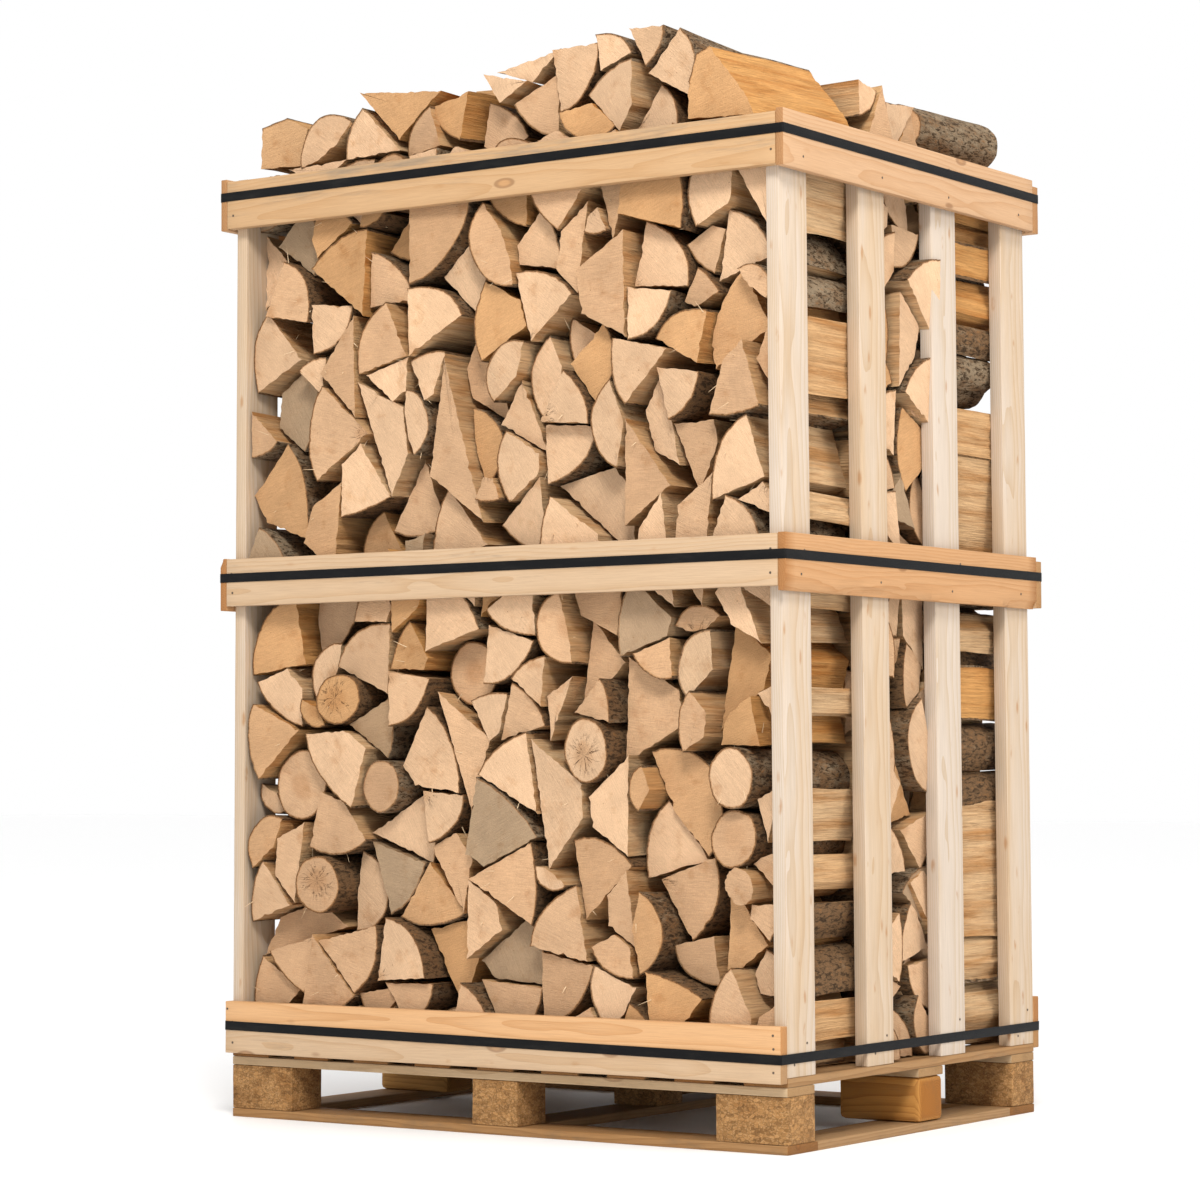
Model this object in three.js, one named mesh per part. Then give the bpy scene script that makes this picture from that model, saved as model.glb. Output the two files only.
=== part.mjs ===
// Firewood crate: split beech logs packed in three rows in a two-tier slatted crate.
// The crate is a nine-block pallet, eight side slats, three levels of rails and three
// straps. Millimetres, +Z up, the front towards -Y. The origin is at the middle of the
// footprint, on the surface that the pallet stands on.
import * as THREE from "three";

// ---- Driving dimensions ----
const WIDTH = 1200; // over the side rails, along X
const DEPTH = 888; // over the front and back rails, along Y
const GAP = 0.3; // left between pieces that touch

const SIDE_RAIL_THICK = 14;
const FRONT_RAIL_THICK = 20;
const SLAT_THICK = 24;
const SLAT_WIDTH = 88;
const SLAT_PITCH = 250; // between the two inner slats of a side
const SLAT_LEAN = 8; // how far a slat's top stands in from its foot

// Heights of each rail's lower and upper edge above the floor
const BOTTOM_RAIL = [115, 207];
const MID_FRONT_RAIL = [917, 1002];
const MID_SIDE_RAIL = [909, 1003];
const TOP_FRONT_RAIL = [1603, 1689];
const TOP_SIDE_RAIL = [1600, 1694];
const BACK_RAIL_DROP = 6; // the back rails sit a little lower than the front ones

// Pallet
const BOARD_THICK = 15; // bottom, stringer and deck boards alike
const BLOCK_HEIGHT = 78;
const BLOCK_DEPTH = 84; // along Y, and the stringers' width
const CORNER_BLOCK_WIDTH = 138; // along X
const MIDDLE_BLOCK_WIDTH = 95;
const SIDE_BLOCK_WIDTH = 160;
const MIDDLE_ROW_SHIFT = 45; // the middle stringer and its blocks sit behind the centre
const RUNNER_WIDTH = 92; // bottom boards
const DECK_BOARDS = 9;
const DECK_EDGE_WIDTH = 84;
const DECK_BOARD_WIDTH = 76;

// Straps
const STRAP_WIDTH = 16;
const STRAP_THICK = 1;
const STRAP_BEND = 0.5; // inner radius at the corners
const TOP_STRAP_Z = 1653;
const MID_STRAP_Z = 960;
const BOTTOM_STRAP_Z = 151;
const BOTTOM_STRAP_SLOPE = 0.0085; // down towards +X

// Logs
const LOG_LENGTH = 306; // rows of logs, front to back: along Y, along X, along Y
const FILL_TOP = 1690;
const LOG_PROUD = 10; // how far log ends stand out past the slats, between the rails
const LOG_CLEAR = 10; // and how far they keep from the edge of a rail or slat

// ---- Worked out from the driving dimensions ----
const halfWidth = WIDTH / 2;
const halfDepth = DEPTH / 2;
const frameX = halfWidth - SIDE_RAIL_THICK; // outer faces of the slats and the pallet
const frameY = halfDepth - FRONT_RAIL_THICK; // inner faces of the front and back rails
const palletX = frameX;
const palletY = frameY - GAP;
const blockZ = BOARD_THICK;
const stringerZ = blockZ + BLOCK_HEIGHT;
const deckZ = stringerZ + BOARD_THICK;
const deckTop = deckZ + BOARD_THICK;

// ---- Materials ----
const finish = (color, roughness) =>
  new THREE.MeshStandardMaterial({ color, roughness, metalness: 0 });
const railSpruce = finish(0xe3bd8a, 0.75);
const slatSpruce = finish(0xecd2ae, 0.72);
const palletWood = finish(0xcba571, 0.8);
const pressedChip = finish(0xa88455, 0.9);
const strapPlastic = finish(0x1c1b1a, 0.4);
const splitBeech = finish(0xcf9f6c, 0.82);
const barkBrown = finish(0x6e5a45, 0.95);

const crate = new THREE.Group();

// ---- Shapes ----

function addMesh(name, geometry, material) {
  const mesh = new THREE.Mesh(geometry, material);
  mesh.name = name;
  crate.add(mesh);
  return mesh;
}

// A sawn piece between two values on each axis
function addBoard(name, material, [x0, x1], [y0, y1], [z0, z1]) {
  const geometry = new THREE.BoxGeometry(x1 - x0, y1 - y0, z1 - z0);
  const mesh = addMesh(name, geometry, material);
  mesh.position.set((x0 + x1) / 2, (y0 + y1) / 2, (z0 + z1) / 2);
}

function closedShape(points) {
  return new THREE.Shape(points.map(([u, v]) => new THREE.Vector2(u, v)));
}

// An outline in the XY plane, carried up Z
function addAlongZ(name, material, outline, [z0, z1]) {
  const settings = { depth: z1 - z0, bevelEnabled: false };
  const geometry = new THREE.ExtrudeGeometry(closedShape(outline), settings);
  const mesh = addMesh(name, geometry, material);
  mesh.position.z = z0;
}

// An outline in the XZ plane, carried along Y
function addAlongY(name, material, outline, [y0, y1]) {
  const settings = { depth: y1 - y0, bevelEnabled: false };
  const geometry = new THREE.ExtrudeGeometry(closedShape(outline), settings);
  const mesh = addMesh(name, geometry, material);
  mesh.rotation.x = Math.PI / 2;
  mesh.position.y = y1;
}

// An outline in the YZ plane, carried along X
function addAlongX(name, material, outline, [x0, x1]) {
  const settings = { depth: x1 - x0, bevelEnabled: false };
  const geometry = new THREE.ExtrudeGeometry(closedShape(outline), settings);
  const mesh = addMesh(name, geometry, material);
  const turn = new THREE.Matrix4().makeBasis(
    new THREE.Vector3(0, 1, 0),
    new THREE.Vector3(0, 0, 1),
    new THREE.Vector3(1, 0, 0),
  );
  mesh.rotation.setFromRotationMatrix(turn);
  mesh.position.x = x0;
}

// ---- Pallet ----

// Three rows of three blocks, each row under its own stringer
function addBlockRows() {
  const front = -palletY + BLOCK_DEPTH / 2;
  const rows = [
    { name: "front", y: front, corner: CORNER_BLOCK_WIDTH },
    { name: "middle", y: MIDDLE_ROW_SHIFT, corner: SIDE_BLOCK_WIDTH },
    { name: "back", y: -front, corner: CORNER_BLOCK_WIDTH },
  ];
  for (const { name, y, corner } of rows) {
    const yRange = [y - BLOCK_DEPTH / 2, y + BLOCK_DEPTH / 2];
    const blockRange = [blockZ + GAP, stringerZ - GAP];
    const half = MIDDLE_BLOCK_WIDTH / 2;
    addBoard(`block_${name}_left`, pressedChip, [-palletX, -palletX + corner], yRange, blockRange);
    addBoard(`block_${name}_centre`, pressedChip, [-half, half], yRange, blockRange);
    addBoard(`block_${name}_right`, pressedChip, [palletX - corner, palletX], yRange, blockRange);
    addBoard(`stringer_${name}`, palletWood, [-palletX, palletX], yRange, [stringerZ, deckZ - GAP]);
  }
}

// Two runners along X at the front and back, three along Y between them
function addRunners() {
  const zRange = [0, BOARD_THICK];
  const inner = palletY - RUNNER_WIDTH;
  addBoard("runner_front", palletWood, [-palletX, palletX], [-palletY, -inner], zRange);
  addBoard("runner_back", palletWood, [-palletX, palletX], [inner, palletY], zRange);
  const reach = palletX - RUNNER_WIDTH / 2;
  const names = ["left", "centre", "right"];
  names.forEach((name, i) => {
    const x = (i - 1) * reach;
    const xRange = [x - RUNNER_WIDTH / 2, x + RUNNER_WIDTH / 2];
    addBoard(`runner_${name}`, palletWood, xRange, [-inner + GAP, inner - GAP], zRange);
  });
}

// Deck boards along Y with equal gaps between them
function addDeck() {
  const inner = DECK_BOARDS - 2;
  const covered = 2 * DECK_EDGE_WIDTH + inner * DECK_BOARD_WIDTH;
  const gap = (2 * palletX - covered) / (DECK_BOARDS - 1);
  let x = -palletX;
  for (let i = 0; i < DECK_BOARDS; i += 1) {
    const edge = i === 0 || i === DECK_BOARDS - 1;
    const width = edge ? DECK_EDGE_WIDTH : DECK_BOARD_WIDTH;
    addBoard(`deck_${i + 1}`, palletWood, [x, x + width], [-palletY, palletY], [deckZ, deckTop]);
    x += width + gap;
  }
}

// ---- Crate sides ----

// Four slats a side, on the deck, leaning in slightly towards the top
function addSlats() {
  const z0 = deckTop + GAP;
  const height = TOP_SIDE_RAIL[1] - z0;
  const outer = frameY - GAP - SLAT_WIDTH / 2;
  const centres = [-outer, -SLAT_PITCH / 2, SLAT_PITCH / 2, outer];
  const lean = Math.atan(SLAT_LEAN / height);
  for (const [side, sign] of [["left", -1], ["right", 1]]) {
    centres.forEach((y, i) => {
      const geometry = new THREE.BoxGeometry(SLAT_THICK, SLAT_WIDTH, height);
      geometry.translate(-sign * SLAT_THICK / 2, 0, height / 2);
      const slat = addMesh(`slat_${side}_${i + 1}`, geometry, slatSpruce);
      slat.rotation.y = -sign * lean;
      slat.position.set(sign * (frameX - GAP), y, z0);
    });
  }
}

function addRails() {
  const levels = [
    { name: "top", front: TOP_FRONT_RAIL, side: TOP_SIDE_RAIL },
    { name: "middle", front: MID_FRONT_RAIL, side: MID_SIDE_RAIL },
  ];
  const sideRange = [-halfDepth, frameY - GAP];
  for (const { name, front, side } of levels) {
    const fit = frameX - GAP;
    const back = front.map((z) => z - BACK_RAIL_DROP);
    addBoard(`rail_${name}_front`, railSpruce, [-fit, fit], [-halfDepth, -frameY], front);
    addBoard(`rail_${name}_back`, railSpruce, [-halfWidth, halfWidth], [frameY, halfDepth], back);
    addBoard(`rail_${name}_left`, railSpruce, [-halfWidth, -frameX], sideRange, side);
    addBoard(`rail_${name}_right`, railSpruce, [frameX, halfWidth], sideRange, side);
  }
  const [low, high] = BOTTOM_RAIL;
  const joint = (low + high) / 2;
  for (const [name, y0, y1] of [["front", -halfDepth, -frameY], ["back", frameY, halfDepth]]) {
    addBoard(`rail_foot_${name}`, railSpruce, [-frameX, frameX], [y0, y1], [low, joint - GAP]);
    addBoard(`rail_bottom_${name}`, railSpruce, [-frameX, frameX], [y0, y1], [joint, high]);
  }
}

// ---- Straps ----

function roundedRectangle(path, halfX, halfY, radius) {
  path.moveTo(halfX, -halfY + radius);
  path.lineTo(halfX, halfY - radius);
  path.absarc(halfX - radius, halfY - radius, radius, 0, Math.PI / 2);
  path.lineTo(-halfX + radius, halfY);
  path.absarc(-halfX + radius, halfY - radius, radius, Math.PI / 2, Math.PI);
  path.lineTo(-halfX, -halfY + radius);
  path.absarc(-halfX + radius, -halfY + radius, radius, Math.PI, 1.5 * Math.PI);
  path.lineTo(halfX - radius, -halfY);
  path.absarc(halfX - radius, -halfY + radius, radius, 1.5 * Math.PI, 2 * Math.PI);
  return path;
}

// A flat band pulled tight around the crate
function addStrap(name, reachX, reachY, z, slope) {
  const x = reachX + GAP;
  const y = reachY + GAP;
  const outerBend = STRAP_BEND + STRAP_THICK;
  const outer = roundedRectangle(new THREE.Shape(), x + STRAP_THICK, y + STRAP_THICK, outerBend);
  outer.holes.push(roundedRectangle(new THREE.Path(), x, y, STRAP_BEND));
  const settings = { depth: STRAP_WIDTH, bevelEnabled: false, curveSegments: 4 };
  const strap = addMesh(name, new THREE.ExtrudeGeometry(outer, settings), strapPlastic);
  strap.position.z = z;
  strap.rotation.y = Math.atan(slope);
}

// ---- Logs ----

// Each row is a stack of loose logs, as one solid that reaches their tips
const rowX = frameX - SLAT_THICK - SLAT_LEAN - 2 * GAP;
const rowY = frameY - GAP;
const rowSplit = rowY - LOG_LENGTH;
const rows = [
  { name: "front", y: [-rowY, -rowSplit - GAP] },
  { name: "middle", y: [-rowSplit, rowSplit] },
  { name: "back", y: [rowSplit + GAP, rowY] },
];
const heapZ = FILL_TOP + GAP;

// Half of a row's outline in YZ: its outer face stands out between the rails
function outerFace(low, high) {
  const proud = rowY + LOG_PROUD;
  return [
    [rowY, low],
    [rowY, BOTTOM_RAIL[1] + LOG_CLEAR],
    [proud, BOTTOM_RAIL[1] + LOG_CLEAR],
    [proud, MID_FRONT_RAIL[0] - BACK_RAIL_DROP - LOG_CLEAR],
    [rowY, MID_FRONT_RAIL[0] - BACK_RAIL_DROP - LOG_CLEAR],
    [rowY, MID_FRONT_RAIL[1] + LOG_CLEAR],
    [proud, MID_FRONT_RAIL[1] + LOG_CLEAR],
    [proud, TOP_FRONT_RAIL[0] - BACK_RAIL_DROP - LOG_CLEAR],
    [rowY, TOP_FRONT_RAIL[0] - BACK_RAIL_DROP - LOG_CLEAR],
    [rowY, high],
  ];
}

function addLogRows() {
  const low = deckTop + GAP;
  const inner = rowSplit + GAP;
  const back = [...outerFace(low, FILL_TOP), [inner, FILL_TOP], [inner, low]];
  const front = back.map(([y, z]) => [-y, z]).reverse();
  addAlongX("logs_front_row", splitBeech, front, [-rowX, rowX]);
  addAlongX("logs_back_row", splitBeech, back, [-rowX, rowX]);
  // the middle row's logs lie along X, and their ends fill the gap between the inner slats
  const reach = frameX - LOG_CLEAR;
  const half = (SLAT_PITCH - SLAT_WIDTH) / 2 - LOG_CLEAR;
  const right = [[rowX, -rowSplit], [rowX, -half], [reach, -half], [reach, half], [rowX, half],
    [rowX, rowSplit]];
  const outline = [...right, ...right.map(([x, y]) => [-x, -y])];
  addAlongZ("logs_middle_row", splitBeech, outline, [low, FILL_TOP]);
}

// The loose heap above the top rails: one outline for each row
function addHeap() {
  const outlines = [
    [[-436, heapZ], [410, heapZ], [398, 1858], [240, 1870], [95, 1874], [-320, 1862],
      [-436, 1796]],
    [[-520, heapZ], [420, heapZ], [395, 1838], [210, 1880], [-60, 1872], [-360, 1846],
      [-520, 1760]],
    [[-524, heapZ], [430, heapZ], [400, 1800], [190, 1858], [-120, 1864], [-400, 1812],
      [-524, 1744]],
  ];
  rows.forEach(({ name, y }, i) => {
    addAlongY(`heap_${name}`, splitBeech, outlines[i], y);
  });
}

// Larger single logs that lie on top at the corners and along the right side
function addTopLogs() {
  const frontY = rows[0].y;
  const backY = rows[2].y;
  const halfRound = [[-545, heapZ + 4], [-500, heapZ], [-437, heapZ], [-437, 1786],
    [-470, 1800], [-536, 1796], [-553, 1750]];
  addAlongY("log_left_corner", splitBeech, halfRound, [frontY[0], frontY[1] - 24]);
  const longWedge = [[411, heapZ], [544, heapZ], [572, 1722], [566, 1768], [520, 1806],
    [436, 1848], [411, 1790]];
  addAlongY("log_right_corner", splitBeech, longWedge, frontY);
  const roundBark = [[-10, 1758], [30, 1748], [70, 1758], [88, 1790], [72, 1822], [30, 1836],
    [-12, 1822], [-28, 1790]];
  addAlongX("log_bark_middle", barkBrown, roundBark, [421, 530]);
  const wedge = [[-70, heapZ], [60, heapZ], [48, 1732], [10, 1742], [-40, 1724]];
  addAlongX("log_wedge_middle", splitBeech, wedge, [421, 572]);
  const backBark = [[431, heapZ], [544, heapZ], [576, 1726], [570, 1768], [530, 1792],
    [470, 1788], [431, 1750]];
  addAlongY("log_back_corner", barkBrown, backBark, backY);
}

addBlockRows();
addRunners();
addDeck();
addSlats();
addRails();
addStrap("strap_top", halfWidth, halfDepth, TOP_STRAP_Z, 0);
addStrap("strap_middle", halfWidth, halfDepth, MID_STRAP_Z, 0);
addStrap("strap_bottom", frameX, halfDepth, BOTTOM_STRAP_Z, BOTTOM_STRAP_SLOPE);
addLogRows();
addHeap();
addTopLogs();

export default crate;
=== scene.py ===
# %% [markdown]
# A pallet crate of split beech firewood. The construction model already has every board,
# block, strap and row of logs at its real size. This script gives each of them its real
# surface: sawn boards, pressed chip blocks, woven strapping, and about six hundred logs
# that are packed one by one in place of the plain solids that stand for whole rows.

import math

import bpy
import numpy as np
from mathutils import Matrix, Vector


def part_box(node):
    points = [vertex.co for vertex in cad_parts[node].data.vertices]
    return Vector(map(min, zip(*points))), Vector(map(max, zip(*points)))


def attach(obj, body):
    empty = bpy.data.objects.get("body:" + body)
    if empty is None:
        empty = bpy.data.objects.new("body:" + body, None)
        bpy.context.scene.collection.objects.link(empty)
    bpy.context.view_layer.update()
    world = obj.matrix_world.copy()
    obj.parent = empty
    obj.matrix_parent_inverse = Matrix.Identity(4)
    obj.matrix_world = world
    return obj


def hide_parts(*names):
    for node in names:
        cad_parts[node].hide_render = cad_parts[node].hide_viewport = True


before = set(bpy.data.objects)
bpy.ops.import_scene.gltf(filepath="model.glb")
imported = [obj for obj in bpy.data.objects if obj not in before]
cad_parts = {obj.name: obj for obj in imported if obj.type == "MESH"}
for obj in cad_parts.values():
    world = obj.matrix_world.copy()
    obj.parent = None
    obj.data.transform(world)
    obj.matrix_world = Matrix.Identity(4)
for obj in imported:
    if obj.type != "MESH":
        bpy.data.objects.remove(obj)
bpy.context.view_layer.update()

# %% [markdown]
# The camera stands in front of the crate's right corner, a little over six metres away
# and low, so the rails' undersides show. A long lens keeps the upright slats nearly
# parallel.

# %% Camera
CAMERA_PLACE = (3.517, -5.177, 0.624)
CAMERA_HEADING = math.radians(34.73)  # turned left from straight ahead along +Y
CAMERA_TILT = math.radians(2.78)  # up
CAMERA_ROLL = math.radians(-0.19)
CAMERA_LENS = 103.5  # on a 36 mm wide sensor

camera_data = bpy.data.cameras.new("camera")
camera_data.lens = CAMERA_LENS
camera_data.sensor_width = 36
camera = bpy.data.objects.new("camera", camera_data)
camera.matrix_world = (
    Matrix.Translation(CAMERA_PLACE)
    @ Matrix.Rotation(CAMERA_HEADING, 4, "Z")
    @ Matrix.Rotation(math.pi / 2 + CAMERA_TILT, 4, "X")
    @ Matrix.Rotation(CAMERA_ROLL, 4, "Z")
)
bpy.context.scene.collection.objects.link(camera)
bpy.context.scene.camera = camera

# %% [markdown]
# A shader tree is easier to read as short sums than as boxes and wires. This small class
# adds one node at a time and hands back its output, so a finish can be written down
# like arithmetic.

# %% A short way to write shader trees


class Shader:
    """A material's node tree, written as calls that return sockets."""

    def __init__(self, name):
        self.material = bpy.data.materials.new(name)
        self.material.use_nodes = True
        self.nodes = self.material.node_tree.nodes
        self.links = self.material.node_tree.links
        self.surface = self.nodes["Principled BSDF"]

    def put(self, socket, value):
        if isinstance(value, bpy.types.NodeSocket):
            self.links.new(value, socket)
        elif value is not None:
            socket.default_value = value

    def add(self, kind, *values, out=0, **settings):
        node = self.nodes.new(kind)
        for key, value in settings.items():
            setattr(node, key, value)
        for socket, value in zip(node.inputs, values):
            self.put(socket, value)
        return node.outputs[out]

    def math(self, operation, a, b=None, c=None):
        return self.add("ShaderNodeMath", a, b, c, operation=operation)

    def attribute(self, name):
        return self.add("ShaderNodeAttribute", attribute_name=name, out="Vector")

    def split(self, vector):
        node = self.nodes.new("ShaderNodeSeparateXYZ")
        self.links.new(vector, node.inputs[0])
        return node.outputs[0], node.outputs[1], node.outputs[2]

    def vector(self, x, y, z):
        return self.add("ShaderNodeCombineXYZ", x, y, z)

    def stretch(self, vector, scale, shift=(0, 0, 0)):
        return self.add("ShaderNodeMapping", vector, shift, None, scale)

    def noise(self, vector, scale=1.0, detail=2.0, roughness=0.5, distortion=0.0):
        node = self.nodes.new("ShaderNodeTexNoise")
        node.noise_dimensions = "4D"
        self.put(node.inputs["Vector"], vector)
        self.put(node.inputs["Scale"], scale)
        self.put(node.inputs["Detail"], detail)
        self.put(node.inputs["Roughness"], roughness)
        self.put(node.inputs["Distortion"], distortion)
        return node.outputs[0]

    def cells(self, vector, scale=1.0, out="Distance", feature="F1"):
        node = self.nodes.new("ShaderNodeTexVoronoi")
        node.feature = feature
        self.put(node.inputs["Vector"], vector)
        self.put(node.inputs["Scale"], scale)
        return node.outputs[out]

    def ramp(self, value, low, high):
        """0 below low, 1 above high, smooth between; low may be above high."""
        node = self.nodes.new("ShaderNodeMapRange")
        node.interpolation_type = "SMOOTHSTEP"
        self.put(node.inputs["Value"], value)
        self.put(node.inputs["From Min"], min(low, high))
        self.put(node.inputs["From Max"], max(low, high))
        self.put(node.inputs["To Min"], 0.0 if low < high else 1.0)
        self.put(node.inputs["To Max"], 1.0 if low < high else 0.0)
        return node.outputs[0]

    def mix(self, amount, a, b, blend="MIX"):
        node = self.nodes.new("ShaderNodeMix")
        node.data_type = "RGBA"
        node.blend_type = blend
        self.put(node.inputs[0], amount)
        self.put(node.inputs[6], a if isinstance(a, bpy.types.NodeSocket) else (*a, 1))
        self.put(node.inputs[7], b if isinstance(b, bpy.types.NodeSocket) else (*b, 1))
        return node.outputs[2]

    def from_heart(self, x, y):
        """How far a point of the grain is from its trunk's centre."""
        squares = self.math("ADD", self.math("MULTIPLY", x, x), self.math("MULTIPLY", y, y))
        return self.math("SQRT", squares)

    def shade(self, colour, factor):
        """The colour times a grey factor."""
        grey = self.vector(factor, factor, factor)
        return self.mix(1.0, colour, grey, "MULTIPLY")

    def finish(self, colour, roughness, height=None, depth=0.001, specular=0.3):
        self.put(self.surface.inputs["Base Color"], colour)
        self.put(self.surface.inputs["Roughness"], roughness)
        self.surface.inputs["Specular IOR Level"].default_value = specular
        if height is not None:
            bump = self.nodes.new("ShaderNodeBump")
            bump.inputs["Distance"].default_value = depth
            bump.inputs["Strength"].default_value = 1.0
            self.links.new(height, bump.inputs["Height"])
            self.links.new(bump.outputs[0], self.surface.inputs["Normal"])
        return self.material


# %% [markdown]
# A plain pale floor and a bright, even room light. Far out the floor is painted paler:
# painted light that makes up for the lamps' light falling off there. A large soft panel
# high in front and a weaker one on the right give the boards a lit side and the gaps
# between logs their depth.

# %% Floor and light
FLOOR_SIZE = 60.0
FLOOR_NEAR = ((0.90,) * 3, (0.92,) * 3)
# painted light: the far floor's paler colour makes up for the lamps' light that does not reach it
FLOOR_FAR_PAINTED_LIGHT = (0.985,) * 3
ROOM_LIGHT = 1.0
PANEL_COLOUR = (1.0, 0.985, 0.96)
CRATE_MIDDLE = Vector((0, 0, 0.9))

floor_data = bpy.data.meshes.new("floor")
half = FLOOR_SIZE / 2
floor_data.from_pydata(
    [(-half, -half, 0), (half, -half, 0), (half, half, 0), (-half, half, 0)], [], [(0, 1, 2, 3)]
)
floor = bpy.data.objects.new("floor", floor_data)
bpy.context.scene.collection.objects.link(floor)
pale = Shader("pale floor")
floor_place = pale.add("ShaderNodeTexCoord", out="Object")
floor_tone = pale.mix(pale.noise(floor_place, 0.7), *FLOOR_NEAR)
from_middle = pale.add("ShaderNodeVectorMath", floor_place, operation="LENGTH", out="Value")
# painted light: from 3 to 8 m out the floor turns paler, standing in for the lamps' light falling off far
# away
floor_tone = pale.mix(pale.ramp(from_middle, 3.0, 8.0), floor_tone, FLOOR_FAR_PAINTED_LIGHT)
floor_data.materials.append(pale.finish(floor_tone, 0.6))

room = bpy.data.worlds.new("room")
room.use_nodes = True
room.node_tree.nodes["Background"].inputs[0].default_value = (1.0, 1.0, 1.0, 1.0)
room.node_tree.nodes["Background"].inputs[1].default_value = ROOM_LIGHT
bpy.context.scene.world = room
bpy.context.scene.view_settings.view_transform = "Standard"


def soft_panel(name, place, size, watts):
    data = bpy.data.lights.new(name, "AREA")
    data.shape = "SQUARE"
    data.size = size
    data.energy = watts
    data.color = PANEL_COLOUR
    panel = bpy.data.objects.new(name, data)
    turn = (CRATE_MIDDLE - Vector(place)).to_track_quat("-Z", "Y").to_matrix().to_4x4()
    panel.matrix_world = Matrix.Translation(place) @ turn
    bpy.context.scene.collection.objects.link(panel)


soft_panel("key panel", (2.9, -4.3, 5.0), 1.6, 330)
soft_panel("right panel", (5.6, 0.2, 3.0), 1.8, 95)
print("floor", FLOOR_SIZE, "metres, lights", [light.name for light in bpy.data.lights])

# %% [markdown]
# Every board here is sawn from a trunk, and the trunk's growth rings explain its figure.
# So each board carries a grain attribute: where a point was in its trunk, across from
# the heart in X and Y, and along it in Z. Rings drawn around that heart give straight
# lines on one board, cathedral arches on the next, and arcs on the sawn ends.

# %% Sawn wood
RING_WIDTH = 0.0042


def growth_rings(s, grain, width, wander):
    """Late wood: 0 in the soft part of a ring, rising to 1 at its hard dark edge."""
    x, y, z = s.split(grain)
    slow = s.noise(s.vector(0.0, 0.0, s.math("MULTIPLY", z, 2.2)), 1.0, 2.0)
    bend = s.noise(s.stretch(grain, (18, 18, 3)), 1.0, 2.0)
    radius = s.from_heart(x, y)
    radius = s.math("MULTIPLY_ADD", slow, wander, radius)
    radius = s.math("MULTIPLY_ADD", bend, wander * 0.6, radius)
    turn = s.math("FRACT", s.math("DIVIDE", radius, width))
    return s.math("POWER", turn, 2.6)


def sawn_wood(name, pale, late, ring=0.5, flecks=0.0, knots=0.3, stain=0.0, dirt=0.0, depth=0.0006):
    """Sawn softwood. The tone attribute holds a tint, the stain's strength and the end mask."""
    s = Shader(name)
    grain = s.attribute("grain")
    tint, stain_mask, end = s.split(s.attribute("tone"))
    late_wood = growth_rings(s, grain, RING_WIDTH, 0.02)
    fibre = s.noise(s.stretch(grain, (700, 700, 16)), 1.0, 3.0, 0.6)
    broad = s.noise(s.stretch(grain, (22, 22, 3)), 1.0, 3.0)

    colour = s.mix(s.math("MULTIPLY", late_wood, ring), pale, late)
    warm = s.mix(s.ramp(s.math("ADD", broad, s.math("SUBTRACT", tint, 0.5)), 0.35, 0.85), (1, 1, 1),
                 (0.96, 0.86, 0.72))
    colour = s.mix(1.0, colour, warm, "MULTIPLY")
    colour = s.shade(colour, s.math("MULTIPLY_ADD", fibre, 0.42, 0.79))

    if flecks:
        near = s.cells(s.stretch(grain, (34, 34, 11)), 1.0)
        width = s.noise(s.stretch(grain, (60, 60, 30)), 1.0, 2.0)
        fleck = s.math("MULTIPLY", s.ramp(near, 0.20, 0.06), s.ramp(width, 0.42, 0.58))
        colour = s.mix(s.math("MULTIPLY", fleck, flecks), colour, (0.33, 0.15, 0.045))
    if knots:
        near = s.cells(s.stretch(grain, (13, 13, 5.2), (3.1, 1.7, 0.4)), 1.0)
        ring_line = s.math("MULTIPLY", s.ramp(near, 0.13, 0.10), s.ramp(near, 0.04, 0.09))
        heart = s.ramp(near, 0.10, 0.05)
        colour = s.mix(s.math("MULTIPLY", heart, knots), colour, (0.42, 0.20, 0.07))
        colour = s.mix(s.math("MULTIPLY", ring_line, knots), colour, (0.15, 0.06, 0.02))
    if stain:
        patch = s.noise(s.stretch(grain, (60, 60, 5)), 1.0, 6.0, 0.7)
        damp = s.math("MULTIPLY_ADD", patch, 2.2, s.math("MULTIPLY_ADD", stain_mask, 0.55, -1.1))
        amount = s.math("MULTIPLY", s.ramp(damp, 0.22, 0.80), stain)
        colour = s.mix(amount, colour, (0.205, 0.165, 0.120))
    if dirt:
        smudge = s.noise(s.stretch(grain, (30, 30, 12)), 1.0, 6.0, 0.7)
        colour = s.mix(s.math("MULTIPLY", s.ramp(smudge, 0.48, 0.75), dirt), colour, (0.16, 0.11, 0.065))

    end_colour = s.mix(1.0, colour, (0.74, 0.62, 0.48), "MULTIPLY")
    speckle = s.noise(s.stretch(grain, (900, 900, 900)), 1.0, 2.0)
    end_colour = s.shade(end_colour, s.math("MULTIPLY_ADD", speckle, 0.7, 0.62))
    colour = s.mix(end, colour, end_colour)

    relief = s.math("MULTIPLY_ADD", late_wood, 0.25, s.math("MULTIPLY", fibre, 0.8))
    return s.finish(colour, 0.74, relief, depth, 0.14)


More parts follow.
